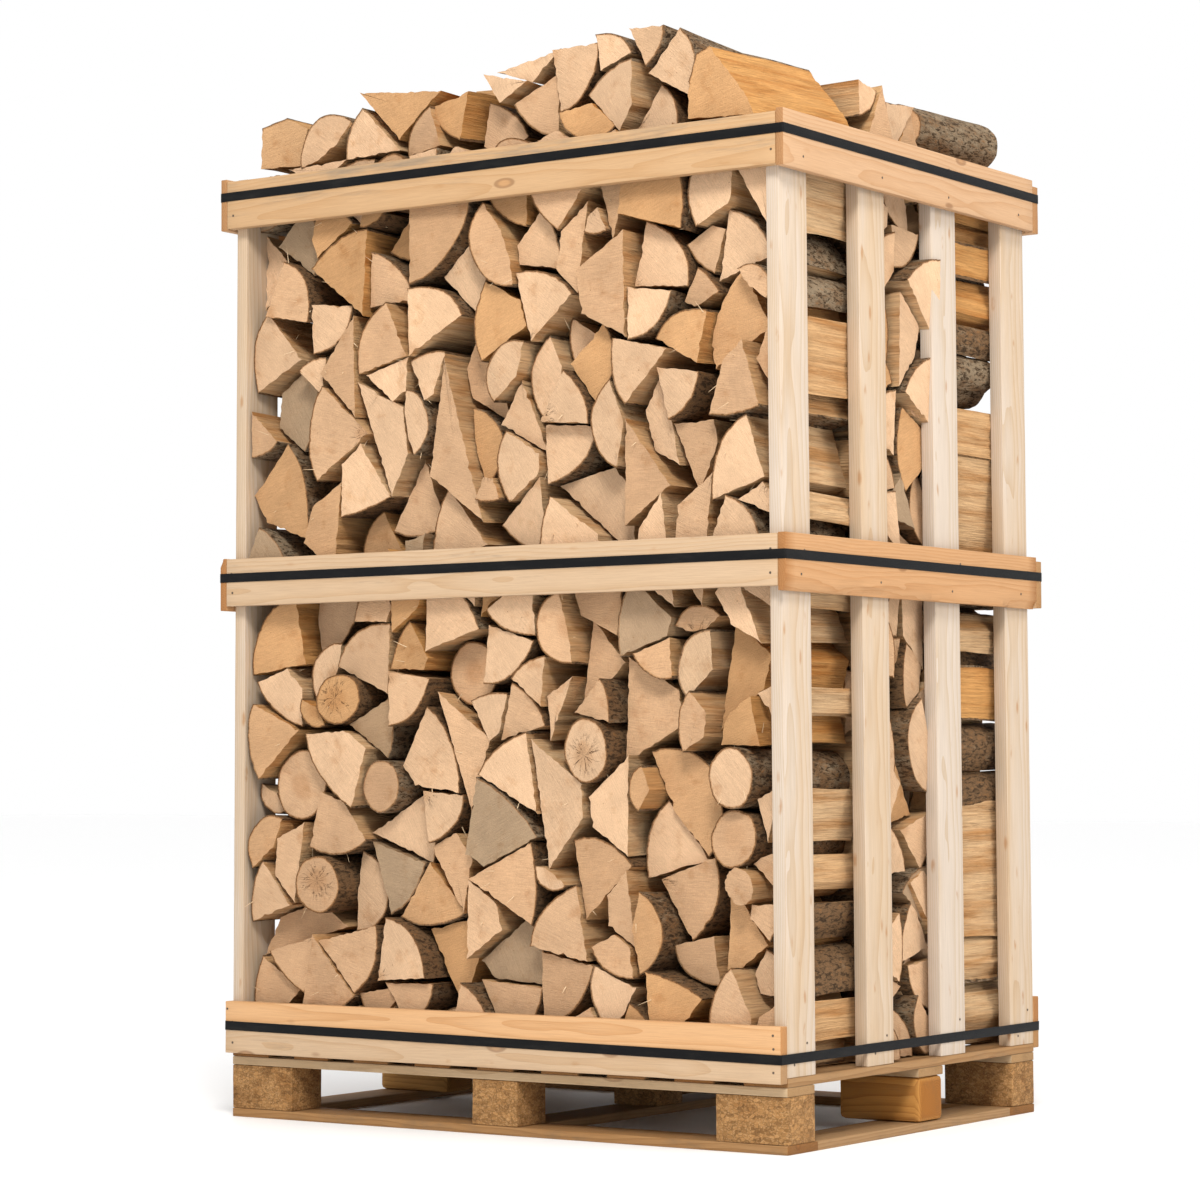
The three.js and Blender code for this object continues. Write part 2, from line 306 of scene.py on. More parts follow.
pale_slat = sawn_wood("planed pale spruce", (0.505, 0.422, 0.345), (0.43, 0.320, 0.215), 0.75,
                      flecks=0.6, knots=0.0, depth=0.0003)
honey_rail = sawn_wood("sawn honey spruce", (0.485, 0.300, 0.170), (0.395, 0.210, 0.095), 0.6,
                       flecks=0.2, knots=0.5, stain=0.6)
orange_rail = sawn_wood("sawn orange pine", (0.575, 0.338, 0.168), (0.455, 0.225, 0.086), 0.6,
                        knots=0.3, stain=0.35)
cream_rail = sawn_wood("sawn cream spruce", (0.488, 0.343, 0.217), (0.41, 0.253, 0.130), 0.55,
                       flecks=0.3, knots=0.5, stain=0.8)
pallet_board = sawn_wood("rough pallet board", (0.330, 0.195, 0.092), (0.215, 0.112, 0.043), 0.65,
                         knots=0.4, stain=0.3, dirt=0.5, depth=0.001)
pallet_pale = sawn_wood("pale stringer board", (0.47, 0.335, 0.20), (0.36, 0.23, 0.115), 0.5,
                        knots=0.4, stain=0.2, dirt=0.35, depth=0.001)
block_wood = sawn_wood("solid block pine", (0.46, 0.24, 0.07), (0.25, 0.105, 0.024), 0.7,
                       knots=0.2, dirt=0.3, depth=0.0008)
woods = (pale_slat, honey_rail, orange_rail, cream_rail, pallet_board, pallet_pale, block_wood)
print("wood finishes", [wood.name for wood in woods])

# %% [markdown]
# One Geometry Nodes tree saws all the boards. It makes a board of any size with its
# length on X, its width on Y and its good face up, roughens its faces and takes the
# sharp corner off one long edge where the trunk's round side ran out. A Bevel modifier
# after it breaks the sawn edges.

# %% The board tree


def tree_group(name, inputs):
    """An empty Geometry Nodes tree with named inputs, and its input and output nodes."""
    tree = bpy.data.node_groups.new(name, "GeometryNodeTree")
    tree.interface.new_socket("Geometry", in_out="INPUT", socket_type="NodeSocketGeometry")
    for label, kind in inputs:
        tree.interface.new_socket(label, in_out="INPUT", socket_type=kind)
    tree.interface.new_socket("Geometry", in_out="OUTPUT", socket_type="NodeSocketGeometry")
    return tree, tree.nodes.new("NodeGroupInput"), tree.nodes.new("NodeGroupOutput")


class Maker:
    """Short calls that add Geometry Nodes to a tree."""

    def __init__(self, tree):
        self.tree = tree

    def add(self, kind, inputs=None, **settings):
        node = self.tree.nodes.new(kind)
        for key, value in settings.items():
            setattr(node, key, value)
        for key, value in (inputs or {}).items():
            if isinstance(value, bpy.types.NodeSocket):
                self.tree.links.new(value, node.inputs[key])
            else:
                node.inputs[key].default_value = value
        return node

    def math(self, operation, a, b):
        return self.add("ShaderNodeMath", {0: a, 1: b}, operation=operation).outputs[0]

    def vector_math(self, operation, a, b):
        return self.add("ShaderNodeVectorMath", {0: a, 1: b}, operation=operation).outputs[0]

    def hand_out(self, geometry, finish, group_output):
        """Makes copies real, coats everything and ends the tree."""
        whole = self.add("GeometryNodeRealizeInstances", {"Geometry": geometry})
        coated = self.add("GeometryNodeSetMaterial", {"Geometry": whole.outputs[0], "Material": finish})
        self.tree.links.new(coated.outputs[0], group_output.inputs[0])


board_tree, board_in, board_out = tree_group(
    "sawn board",
    [("Size", "NodeSocketVector"), ("Cuts", "NodeSocketInt"), ("Roughness", "NodeSocketFloat"),
     ("Wane", "NodeSocketFloat"), ("Seed", "NodeSocketFloat"), ("Finish", "NodeSocketMaterial")],
)
m = Maker(board_tree)
cube = m.add("GeometryNodeMeshCube", {
    "Size": board_in.outputs["Size"], "Vertices X": board_in.outputs["Cuts"], "Vertices Y": 7,
    "Vertices Z": 3})
here = m.add("GeometryNodeInputPosition").outputs[0]
x, y, z = m.add("ShaderNodeSeparateXYZ", {0: here}).outputs[:3]
_, width, thickness = m.add("ShaderNodeSeparateXYZ", {0: board_in.outputs["Size"]}).outputs[:3]
rough = m.add("ShaderNodeTexNoise", {
    "Vector": here, "W": board_in.outputs["Seed"], "Scale": 16.0, "Detail": 3.0},
    noise_dimensions="4D").outputs[1]
uneven = m.add("ShaderNodeVectorMath", {
    0: m.vector_math("SUBTRACT", rough, (0.5, 0.5, 0.5)), "Scale": board_in.outputs["Roughness"]},
    operation="SCALE").outputs[0]
along_only = m.add("ShaderNodeCombineXYZ", {0: x}).outputs[0]
round_noise = m.add("ShaderNodeTexNoise", {
    "Vector": along_only, "W": board_in.outputs["Seed"], "Scale": 3.0, "Detail": 2.0},
    noise_dimensions="4D").outputs[0]
low_edge = m.math("LESS_THAN", y, m.math("MULTIPLY", width, -0.49))
good_face = m.math("GREATER_THAN", z, m.math("MULTIPLY", thickness, 0.4))
wane_depth = m.math("MULTIPLY", m.math("MAXIMUM", m.math("SUBTRACT", round_noise, 0.42), 0.0),
                    board_in.outputs["Wane"])
wane_here = m.math("MULTIPLY", m.math("MULTIPLY", low_edge, good_face), wane_depth)
wane_shift = m.add("ShaderNodeCombineXYZ", {1: wane_here, 2: m.math("MULTIPLY", wane_here, -1.2)})
shift = m.vector_math("ADD", uneven, wane_shift.outputs[0])
shaped = m.add("GeometryNodeSetPosition", {"Geometry": cube.outputs["Mesh"], "Offset": shift})
m.hand_out(shaped.outputs[0], board_in.outputs["Finish"], board_out)


def run_tree(name, tree, values, bevel=None, start=None):
    """Runs a tree on a new object, with its inputs set by identifier, and returns a plain mesh."""
    host = bpy.data.objects.new(name, start or bpy.data.meshes.new(name))
    bpy.context.scene.collection.objects.link(host)
    modifier = host.modifiers.new("tree", "NODES")
    modifier.node_group = tree
    for item in tree.interface.items_tree:
        if item.in_out == "INPUT" and item.name in values:
            modifier[item.identifier] = values[item.name]
    if bevel:
        edge = host.modifiers.new("edge", "BEVEL")
        edge.width = bevel
        edge.segments = 2
        edge.limit_method = "ANGLE"
        edge.angle_limit = math.radians(50)
    depsgraph = bpy.context.evaluated_depsgraph_get()
    mesh = bpy.data.meshes.new_from_object(host.evaluated_get(depsgraph))
    bpy.data.objects.remove(host)
    mesh.name = name
    return mesh


def vertex_array(mesh):
    spots = np.zeros(len(mesh.vertices) * 3, np.float32)
    mesh.vertices.foreach_get("co", spots)
    return spots.reshape(-1, 3)


def volume(spots, triangles):
    """The volume inside closed triangles, negative when they face inward."""
    a, b, c = (spots[triangles[:, corner]] for corner in range(3))
    return float(np.einsum("ij,ij->", a, np.cross(b, c))) / 6


def shown(name, mesh, slot, *nodes):
    """Puts a finished mesh in the scene, facing outward, in place of its plain solids."""
    mesh.calc_loop_triangles()
    corners = np.zeros(len(mesh.loop_triangles) * 3, np.int32)
    mesh.loop_triangles.foreach_get("vertices", corners)
    if volume(vertex_array(mesh).astype(float), corners.reshape(-1, 3)) < 0:
        mesh.flip_normals()
    piece = bpy.data.objects.new(name, mesh)
    bpy.context.scene.collection.objects.link(piece)
    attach(piece, "root")
    if nodes:
        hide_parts(*nodes)


def give_vectors(mesh, name, values):
    layer = mesh.attributes.new(name, "FLOAT_VECTOR", "POINT")
    layer.data.foreach_set("vector", np.ascontiguousarray(values, np.float32).ravel())


print("board tree", len(board_tree.nodes), "nodes")


# %% [markdown]
# A board's place comes from its solid's box. The call names which way its length runs
# and which way its good face looks, the rest follows. The heart says where the trunk's
# centre was, measured from the middle of the board.

# %% Place a board
CUT_SPACING = 0.03
END_DEPTH = 0.0006  # this close to an end, a point belongs to the sawn end


def board(node, length, face, finish, slot, seed, heart=None, rough=0.0012, wane=0.0, stain=0.0,
          edge=0.0014, lean=0.0, thick=None):
    """Saws one board in place of its solid. Seed sets the board's own figure and roughness."""
    low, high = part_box(node)
    length, face = Vector(length), Vector(face)
    width = face.cross(length)
    extent = high - low
    size = [sum(abs(a) * e for a, e in zip(axis, extent)) for axis in (length, width, face)]
    if thick:
        size[2] = thick
    rng = np.random.default_rng(seed)
    mesh = run_tree(f"{node}_board", board_tree, {
        "Size": size, "Cuts": max(3, int(size[0] / CUT_SPACING)), "Roughness": rough,
        "Wane": wane, "Seed": float(seed), "Finish": finish}, bevel=edge)
    spots = vertex_array(mesh)
    off = heart or (rng.uniform(-0.5, 0.5) * size[1], -rng.uniform(0.02, 0.09))
    grain = np.column_stack([spots[:, 1] - off[0], spots[:, 2] - off[1], spots[:, 0] + seed * 3.7])
    give_vectors(mesh, "grain", grain)
    ends = np.abs(spots[:, 0]) > size[0] / 2 - END_DEPTH
    across = spots[:, 1] / size[1] + 0.5
    give_vectors(mesh, "tone", np.column_stack([
        np.full(len(spots), rng.random()), stain * across, ends.astype(float)]))
    middle = (low + high) / 2
    turn = Matrix((length, width, face)).transposed().to_4x4()
    mesh.transform(Matrix.Translation(middle) @ Matrix.Rotation(lean, 4, "Y") @ turn)
    mesh.shade_smooth()
    mesh.set_sharp_from_angle(angle=math.radians(40))
    shown(f"{node}_board", mesh, slot, node)


X, Y, Z = (1, 0, 0), (0, 1, 0), (0, 0, 1)
FRONT, BACK, LEFT, RIGHT, UP = (0, -1, 0), (0, 1, 0), (-1, 0, 0), (1, 0, 0), (0, 0, 1)
print("a point on a board every", CUT_SPACING, "metres")

# %% [markdown]
# The pallet: three runners and two cross runners on the floor, nine blocks, three
# stringers and nine deck boards. These are the cheapest boards on the crate, rough sawn
# and brown with handling.

# %% Pallet boards
deck_nodes = sorted(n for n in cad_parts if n.startswith("deck_"))
PALLET = [
    # nodes, length, face, finish, roughness
    (("runner_front", "runner_back"), X, UP, pallet_board, 0.0016),
    (("runner_left", "runner_centre", "runner_right"), Y, UP, pallet_board, 0.0016),
    (("stringer_front", "stringer_middle"), X, FRONT, pallet_pale, 0.001),
    (("stringer_back",), X, BACK, pallet_pale, 0.001),
    (deck_nodes, Y, UP, pallet_board, 0.0014),
]
pallet_seed = 100
for nodes, length, face, finish, rough in PALLET:
    for node in nodes:
        pallet_seed += 1
        board(node, length, face, finish, "pallet_wood", pallet_seed, rough=rough)
print("pallet boards", pallet_seed - 100)

# %% [markdown]
# Most blocks are wood chips pressed with glue: a mottled brown mass of flakes that lie
# every way, with dark pores between them. Cells of two sizes give the flakes, and each
# flake takes its own shade. The two outer blocks of the middle row are solid wood.

# %% Pressed chip blocks
CHIP_DARK = (0.21, 0.103, 0.034)
CHIP_BROWN = (0.405, 0.210, 0.075)
CHIP_PALE = (0.53, 0.32, 0.145)
CHIP_PORE = (0.06, 0.03, 0.012)


def pressed_chip():
    s = Shader("pressed chip")
    place = s.add("ShaderNodeTexCoord", out="Object")
    wobble = s.noise(place, 60, 3.0)
    push = s.vector(s.math("MULTIPLY", wobble, 0.01), 0.0, s.math("MULTIPLY", wobble, -0.008))
    warped = s.add("ShaderNodeVectorMath", place, push, operation="ADD")
    flake_shade = s.split(s.cells(s.stretch(warped, (105, 105, 190)), 1.0, out="Color"))[0]
    small_shade = s.split(s.cells(s.stretch(warped, (420, 420, 520)), 1.0, out="Color"))[0]
    seam = s.cells(s.stretch(warped, (105, 105, 190)), 1.0, feature="DISTANCE_TO_EDGE")
    patch = s.noise(place, 22, 4.0, 0.6)
    colour = s.mix(flake_shade, CHIP_DARK, CHIP_BROWN)
    colour = s.mix(s.math("MULTIPLY", s.ramp(small_shade, 0.5, 1.0), 0.5), colour, CHIP_PALE)
    colour = s.mix(s.ramp(patch, 0.45, 0.72), colour, s.mix(1.0, colour, (0.68, 0.60, 0.50), "MULTIPLY"))
    colour = s.mix(s.math("MULTIPLY", s.ramp(seam, 0.07, 0.0), 0.55), colour, CHIP_PORE)
    pores = s.ramp(s.noise(place, 480, 2.0), 0.62, 0.74)
    colour = s.mix(s.math("MULTIPLY", pores, 0.6), colour, CHIP_PORE)
    flakes = s.math("MULTIPLY_ADD", flake_shade, 0.4, small_shade)
    relief = s.math("SUBTRACT", flakes, s.math("MULTIPLY", pores, 1.2))
    return s.finish(colour, 0.86, relief, 0.0012, 0.2)


chip = pressed_chip()
block_nodes = sorted(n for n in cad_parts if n.startswith("block_"))
for number, node in enumerate(block_nodes):
    face = BACK if "back" in node else FRONT
    if node in ("block_middle_left", "block_middle_right"):
        board(node, X, face, block_wood, "block_timber", 200 + number, rough=0.0018, edge=0.009,
              heart=(0.01, -0.02))
    else:
        board(node, X, face, chip, "pressed_chip", 200 + number, rough=0.0024, edge=0.0022)
print("blocks", len(block_nodes))

# %% [markdown]
# The slats are planed, so they are the palest boards, with short brown flecks where
# small twigs ended, and they lean in a little. The rails are sawn and vary from cream
# to honey, with knots and the grey stain that damp leaves in spruce.

# %% Slats and rails
SLAT_THICK = 0.024
slat_nodes = sorted(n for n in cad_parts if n.startswith("slat_"))
for number, node in enumerate(slat_nodes):
    low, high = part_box(node)
    side = 1 if high.x > 0 else -1
    tilt = math.atan((high.x - low.x - SLAT_THICK) / (high.z - low.z))
    board(node, Z, RIGHT if side > 0 else LEFT, pale_slat, "slat_spruce", 300 + number,
          rough=0.0008, lean=-side * tilt, thick=SLAT_THICK, heart=(0.02, -0.12))

RAILS = {
    # node: (length, face, finish, stain along the top edge, wane of the lower edge)
    "rail_top_front": (X, FRONT, cream_rail, 0.75, 0.0),
    "rail_top_back": (X, BACK, honey_rail, 0.3, 0.0),
    "rail_top_left": (Y, LEFT, honey_rail, 0.2, 0.0),
    "rail_top_right": (Y, RIGHT, honey_rail, 0.0, 0.0),
    "rail_middle_front": (X, FRONT, cream_rail, 0.25, 0.0),
    "rail_middle_back": (X, BACK, cream_rail, 0.3, 0.0),
    "rail_middle_left": (Y, LEFT, honey_rail, 0.1, 0.03),
    "rail_middle_right": (Y, RIGHT, honey_rail, 0.2, 0.05),
    "rail_bottom_front": (X, FRONT, orange_rail, 0.0, 0.0),
    "rail_foot_front": (X, FRONT, cream_rail, 0.45, 0.0),
    "rail_bottom_back": (X, BACK, honey_rail, 0.1, 0.0),
    "rail_foot_back": (X, BACK, cream_rail, 0.3, 0.0),
}
for number, (node, (length, face, finish, stain, wane)) in enumerate(RAILS.items()):
    board(node, length, face, finish, "rail_spruce", 400 + number, stain=stain, wane=wane, rough=0.0014)
print("slats and rails", len(slat_nodes) + len(RAILS))

# %% [markdown]
# The straps are woven-look plastic bands, 16 mm wide, pulled tight around the rails. A
# strap is a flat profile carried along a rounded loop, which is what Curve to Mesh does.
# The loop's corners round just enough to clear the boards' broken edges.

# %% Straps
STRAP_CORNER = 0.0032
STRAP_THICK = 0.0009
STRAP_WIDTH = 0.016
STRAP_EDGE = 0.0003
WEAVE = 2400  # radians a metre

strap_tree, strap_in, strap_out = tree_group(
    "strap band",
    [("Width", "NodeSocketFloat"), ("Depth", "NodeSocketFloat"), ("Corner", "NodeSocketFloat"),
     ("Band", "NodeSocketFloat"), ("Thickness", "NodeSocketFloat"), ("Finish", "NodeSocketMaterial")],
)
m = Maker(strap_tree)
loop = m.add("GeometryNodeCurvePrimitiveQuadrilateral", {
    "Width": strap_in.outputs["Width"], "Height": strap_in.outputs["Depth"]})
eased = m.add("GeometryNodeFilletCurve", {
    "Curve": loop.outputs[0], "Radius": strap_in.outputs["Corner"], "Count": 6}, mode="POLY")
profile = m.add("GeometryNodeCurvePrimitiveQuadrilateral", {
    "Width": strap_in.outputs["Thickness"], "Height": strap_in.outputs["Band"]})
softer = m.add("GeometryNodeFilletCurve", {
    "Curve": profile.outputs[0], "Radius": STRAP_EDGE, "Count": 2}, mode="POLY")
band = m.add("GeometryNodeCurveToMesh", {"Curve": eased.outputs[0], "Profile Curve": softer.outputs[0]})
m.hand_out(band.outputs[0], strap_in.outputs["Finish"], strap_out)


def strap_plastic():
    s = Shader("black strapping")
    place = s.add("ShaderNodeTexCoord", out="Object")
    x, y, z = s.split(place)
    around = s.math("ADD", x, y)
    rising = s.math("SINE", s.math("MULTIPLY", s.math("ADD", around, z), WEAVE))
    falling = s.math("SINE", s.math("MULTIPLY", s.math("SUBTRACT", around, z), WEAVE))
    weave = s.math("MULTIPLY", rising, falling)
    dust = s.noise(s.stretch(place, (14, 14, 60)), 1.0, 5.0, 0.65)
    colour = s.mix(s.ramp(dust, 0.45, 0.8), (0.0045, 0.0045, 0.005), (0.014, 0.013, 0.012))
    rough = s.math("MULTIPLY_ADD", dust, 0.25, 0.38)
    return s.finish(colour, rough, weave, 0.00012, 0.10)


black_strap = strap_plastic()
for node in ("strap_top", "strap_middle", "strap_bottom"):
    low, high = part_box(node)
    reach = high - low
    mesh = run_tree(f"{node}_band", strap_tree, {
        "Width": reach.x - STRAP_THICK, "Depth": reach.y - STRAP_THICK, "Corner": STRAP_CORNER,
        "Band": STRAP_WIDTH, "Thickness": STRAP_THICK, "Finish": black_strap})
    slope = math.atan((reach.z - STRAP_WIDTH) / reach.x)
    mesh.transform(Matrix.Translation((low + high) / 2) @ Matrix.Rotation(slope, 4, "Y"))
    mesh.shade_smooth()
    mesh.set_sharp_from_angle(angle=math.radians(50))
    shown(f"{node}_band", mesh, "strap_plastic", node)
    print(node, "band", [round(v, 3) for v in np.ptp(vertex_array(mesh), axis=0)])

# %% [markdown]
# The side rails are nailed into the slats, two nails at each crossing, the front and
# back rails into the corner slats, and each slat's foot into the pallet. A nail head is
# a small sunk steel disc, so one head is made once and stood on every nail point.

# %% Nails
NAIL_RADIUS = 0.0021
NAIL_THICK = 0.0022
NAIL_SUNK = 0.0006
NAIL_JITTER = 0.003
CORNER_INSET = 0.014

nail_tree, nail_in, nail_out = tree_group(
    "nail heads",
    [("Radius", "NodeSocketFloat"), ("Finish", "NodeSocketMaterial")],
)
m = Maker(nail_tree)
head = m.add("GeometryNodeMeshCylinder", {
    "Vertices": 10, "Radius": nail_in.outputs["Radius"], "Depth": NAIL_THICK})
aim = m.add("GeometryNodeInputNamedAttribute", {"Name": "outward"}, data_type="FLOAT_VECTOR")
facing = m.add("FunctionNodeAlignRotationToVector", {"Vector": aim.outputs[0]})
stood = m.add("GeometryNodeInstanceOnPoints", {
    "Points": nail_in.outputs["Geometry"], "Instance": head.outputs["Mesh"],
    "Rotation": facing.outputs[0]})
m.hand_out(stood.outputs[0], nail_in.outputs["Finish"], nail_out)


def nail_steel():
    s = Shader("dull nail steel")
    place = s.add("ShaderNodeTexCoord", out="Object")
    patch = s.noise(place, 700, 2.0)
    colour = s.mix(patch, (0.05, 0.035, 0.022), (0.16, 0.12, 0.085))
    s.surface.inputs["Metallic"].default_value = 0.4
    return s.finish(colour, 0.55, patch, 0.0002, 0.4)


nail_spots = []
nail_ways = []
rng = np.random.default_rng(51)


def nail(place, way):
    jitter = rng.normal(0, NAIL_JITTER, 3) * (1 - np.abs(way))
    nail_spots.append(np.array(place) + jitter)
    nail_ways.append(way)


slat_rows = sorted({round(sum(corner.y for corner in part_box(node)) / 2, 3) for node in slat_nodes})
for node in ("rail_top_left", "rail_top_right", "rail_middle_left", "rail_middle_right"):
    low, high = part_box(node)
    way = np.array(LEFT if low.x < 0 else RIGHT, float)
    face_x = low.x if low.x < 0 else high.x
    for row in slat_rows:
        for share in (0.25, 0.70):
            nail((face_x, row + rng.uniform(-0.02, 0.02), low.z + share * (high.z - low.z)), way)
for node in RAILS:
    if not node.endswith(("front", "back")):
        continue
    low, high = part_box(node)
    way = np.array(FRONT if low.y < 0 else BACK, float)
    face_y = low.y if low.y < 0 else high.y
    for side in (-1, 1):
        edge_x = side * (high.x - CORNER_INSET)
        for share in ((0.5,) if "foot" in node else (0.28, 0.70)):
            nail((edge_x, face_y, low.z + share * (high.z - low.z)), way)
for node in slat_nodes:
    low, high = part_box(node)
    outer = high.x if high.x > 0 else low.x
    way = np.array(RIGHT if outer > 0 else LEFT, float)
    nail((outer, (low.y + high.y) / 2 + 0.02, low.z + 0.055), way)
    nail((outer, (low.y + high.y) / 2 - 0.02, low.z + 0.018), way)
spots = np.array(nail_spots) - np.array(nail_ways) * NAIL_SUNK
points = bpy.data.meshes.new("nail points")
points.from_pydata(spots.tolist(), [], [])
give_vectors(points, "outward", np.array(nail_ways))
nails = run_tree("nail_heads", nail_tree, {"Radius": NAIL_RADIUS, "Finish": nail_steel()}, start=points)
shown("nail_heads", nails, None)
print("nails", len(nail_spots), "faces", len(nails.polygons))

# %% [markdown]
# A trunk is sawn into short rounds and each round is split with an axe, mostly through
# its heart. So seen from the end a log is a slice of a circle: a wedge, a wedge with its
# tip split off, a half, an inner piece with no bark, or a small round left whole. Each
# outline remembers which of its edges carry bark and where the heart was.

# %% Outlines of split logs
MEAN_AREA = 0.0078
AREA_SPREAD = 0.36
AREA_LIMITS = (0.0032, 0.0140)
KINDS = ("wedge", "cut wedge", "half", "inner", "round")
SHARES = (0.44, 0.23, 0.09, 0.21, 0.03)
OPENINGS = {"wedge": (48, 92), "cut wedge": (36, 74), "half": (120, 175), "inner": (52, 96)}  # degrees
ARC_STEP = 0.14  # radians


def bark_arc(start, stop, rng):
    """The trunk's round side from one angle to another, not quite round."""
    angles = np.linspace(start, stop, max(4, int(abs(stop - start) / ARC_STEP)))
    broad = 0.03 * np.sin(2 * angles + rng.uniform(0, 6))
    small = 0.015 * np.sin(5 * angles + rng.uniform(0, 6))
    return np.column_stack([np.cos(angles), np.sin(angles)]) * (1 + broad + small)[:, None]


def polygon_area(points):
    x, y = points.T
    return 0.5 * abs(np.dot(x, np.roll(y, -1)) - np.dot(y, np.roll(x, -1)))


def split_outline(rng, kind=None, area=None):
    """One log's outline, counter-clockwise, with a bark flag for each point."""
    kind = kind or rng.choice(KINDS, p=SHARES)
    heart = np.zeros(2)
    if kind == "round":
        points = bark_arc(0, 2 * math.pi, rng)[:-1]
        bark = np.ones(len(points), bool)
        heart = rng.normal(0, 0.08, 2)
        points = points * (1, rng.uniform(0.86, 1.0))
    else:
        reach = math.radians(rng.uniform(*OPENINGS[kind])) / 2
        arc = bark_arc(-reach, reach, rng)
        if kind == "inner":
            arc = arc[[0, -1]] * rng.uniform(0.7, 1.15, (2, 1))
        inner = np.array([[rng.uniform(-0.05, 0.12), rng.uniform(-0.06, 0.06)]])
        if kind in ("cut wedge", "inner") or (kind == "half" and rng.random() < 0.4):
            inner = arc[[-1, 0]] * rng.uniform(0.22, 0.5, (2, 1))
            if kind == "inner" and rng.random() < 0.45:
                inner = inner.mean(axis=0, keepdims=True)
        points = np.vstack([arc, inner])
        bark = np.zeros(len(points), bool)
        if kind != "inner":
            bark[:len(arc)] = True
    goal = area or np.clip(MEAN_AREA * math.exp(rng.normal(0, AREA_SPREAD)), *AREA_LIMITS)
    scale = math.sqrt(goal / polygon_area(points))
    return {"points": points * scale, "bark": bark, "heart": heart * scale}


def turned(shape, angle):
    turn = np.array([[math.cos(angle), math.sin(angle)], [-math.sin(angle), math.cos(angle)]])
    return {"points": shape["points"] @ turn, "bark": shape["bark"], "heart": shape["heart"] @ turn}


def shifted(log, shift):
    return {"points": log["points"] + shift, "bark": log["bark"], "heart": log["heart"] + shift}


def moved(log, scale, shift):
    """The log swelled around its middle, then shifted."""
    middle = log["points"].mean(axis=0)
    return {"points": middle + (log["points"] - middle) * scale + shift, "bark": log["bark"],
            "heart": middle + (log["heart"] - middle) * scale + shift}


print("kinds of split log", dict(zip(KINDS, SHARES)))


# %% [markdown]
# The stack is built as a person builds it: look for the lowest place, try a few logs
# turned this way and that, and lay down the one that leaves the least air. The stack's
# top is kept as a row of narrow columns, so a log's resting height is simply the most
# that any column under it holds it up.

# %% Stack logs
COLUMN = 0.0025
POOL = 12
TURNS = 12
BRIDGE = 8  # columns: a slot narrower than this can't take a log
GOOD_ENOUGH = 0.0011  # square metres of air that a well-laid log wastes
LEVEL_COST = 0.004  # how much an uneven top counts against a place
RISE_COST = 0.010  # and how much a high top does
SLOT_COST = 0.7  # and the air in slots that it would shut
PLUG_AREAS = (0.0022, 0.0045)


def windows(row, width):
    return np.lib.stride_tricks.sliding_window_view(row, width)


def bridged(row):
    """The row with slots narrower than a log filled level."""
    wide = windows(np.pad(row, BRIDGE, mode="edge"), 2 * BRIDGE + 1).max(axis=1)
    return windows(np.pad(wide, BRIDGE, mode="edge"), 2 * BRIDGE + 1).min(axis=1)


def spans(points, start, count, step):
    """The lowest and highest point of an outline in each of a row of columns."""
    at = start + (np.arange(count) + 0.5) * step
    at = np.clip(at, points[:, 0].min() + 1e-6, points[:, 0].max() - 1e-6)
    a, b = points, np.concatenate([points[1:], points[:1]])
    run = b[:, 0] - a[:, 0]
    run = np.where(np.abs(run) < 1e-9, 1e-9, run)
    share = (at[:, None] - a[:, 0]) / run
    z = a[:, 1] + share * (b[:, 1] - a[:, 1])
    hit = (share >= 0) & (share <= 1)
    return np.where(hit, z, np.inf).min(axis=1), np.where(hit, z, -np.inf).max(axis=1)


def profiles(shape):
    """A shape's underside and top in columns, and the place of its left edge."""
    left = shape["points"][:, 0].min()
    count = int(math.ceil((shape["points"][:, 0].max() - left) / COLUMN - 0.2))
    return *spans(shape["points"], left, count, COLUMN), left


def choices(shape, rng):
    """A shape turned every way, with its profiles: (shape, underside, top, left edge)."""
    start = rng.uniform(0, 2 * math.pi)
    poses = [turned(shape, start + 2 * math.pi * step / TURNS) for step in range(TURNS)]
    return [(pose, *profiles(pose)) for pose in poses]


def lay(heights, limit, options, spot, reach=None):
    """The best of the options over a spot: (score, start column, rest height, option)."""
    found = []
    count = len(heights)
    for option in options:
        _, under, over, _ = option
        width = len(under)
        first = max(0, spot - width + 1)
        last = min(spot, count - width)
        if reach is not None:
            middle = spot - width // 2
            first, last = max(0, middle - reach), min(count - width, middle + reach)
        if last < first:
            continue
        steps = slice(first, last + 1, 2)
        below = windows(heights, width)[steps]
        rest = (below - under).max(axis=1)
        air = (rest[:, None] + under - below).sum(axis=1) * COLUMN
        top = rest[:, None] + over
        fits = (top <= windows(limit, width)[steps]).all(axis=1)
        level = np.ptp(top, axis=1) * LEVEL_COST + (rest + over.max() - heights[spot]) * RISE_COST
        score = np.where(fits, air + level, np.inf)
        best = int(score.argmin())
        if np.isfinite(score[best]):
            found.append((float(score[best]), first + 2 * best, float(rest[best]), option))
    found.sort(key=lambda item: item[0])
    ranked = []
    for score, start, rest, option in found[:6]:
        over = option[2]
        trial = heights.copy()
        trial[start:start + len(over)] = rest + over
        near = slice(max(0, start - 40), start + len(over) + 40)
        lost = (bridged(trial[near]) - trial[near]).sum() * COLUMN
        ranked.append((score + SLOT_COST * lost, start, rest, option))
    return min(ranked, key=lambda item: item[0]) if ranked else None


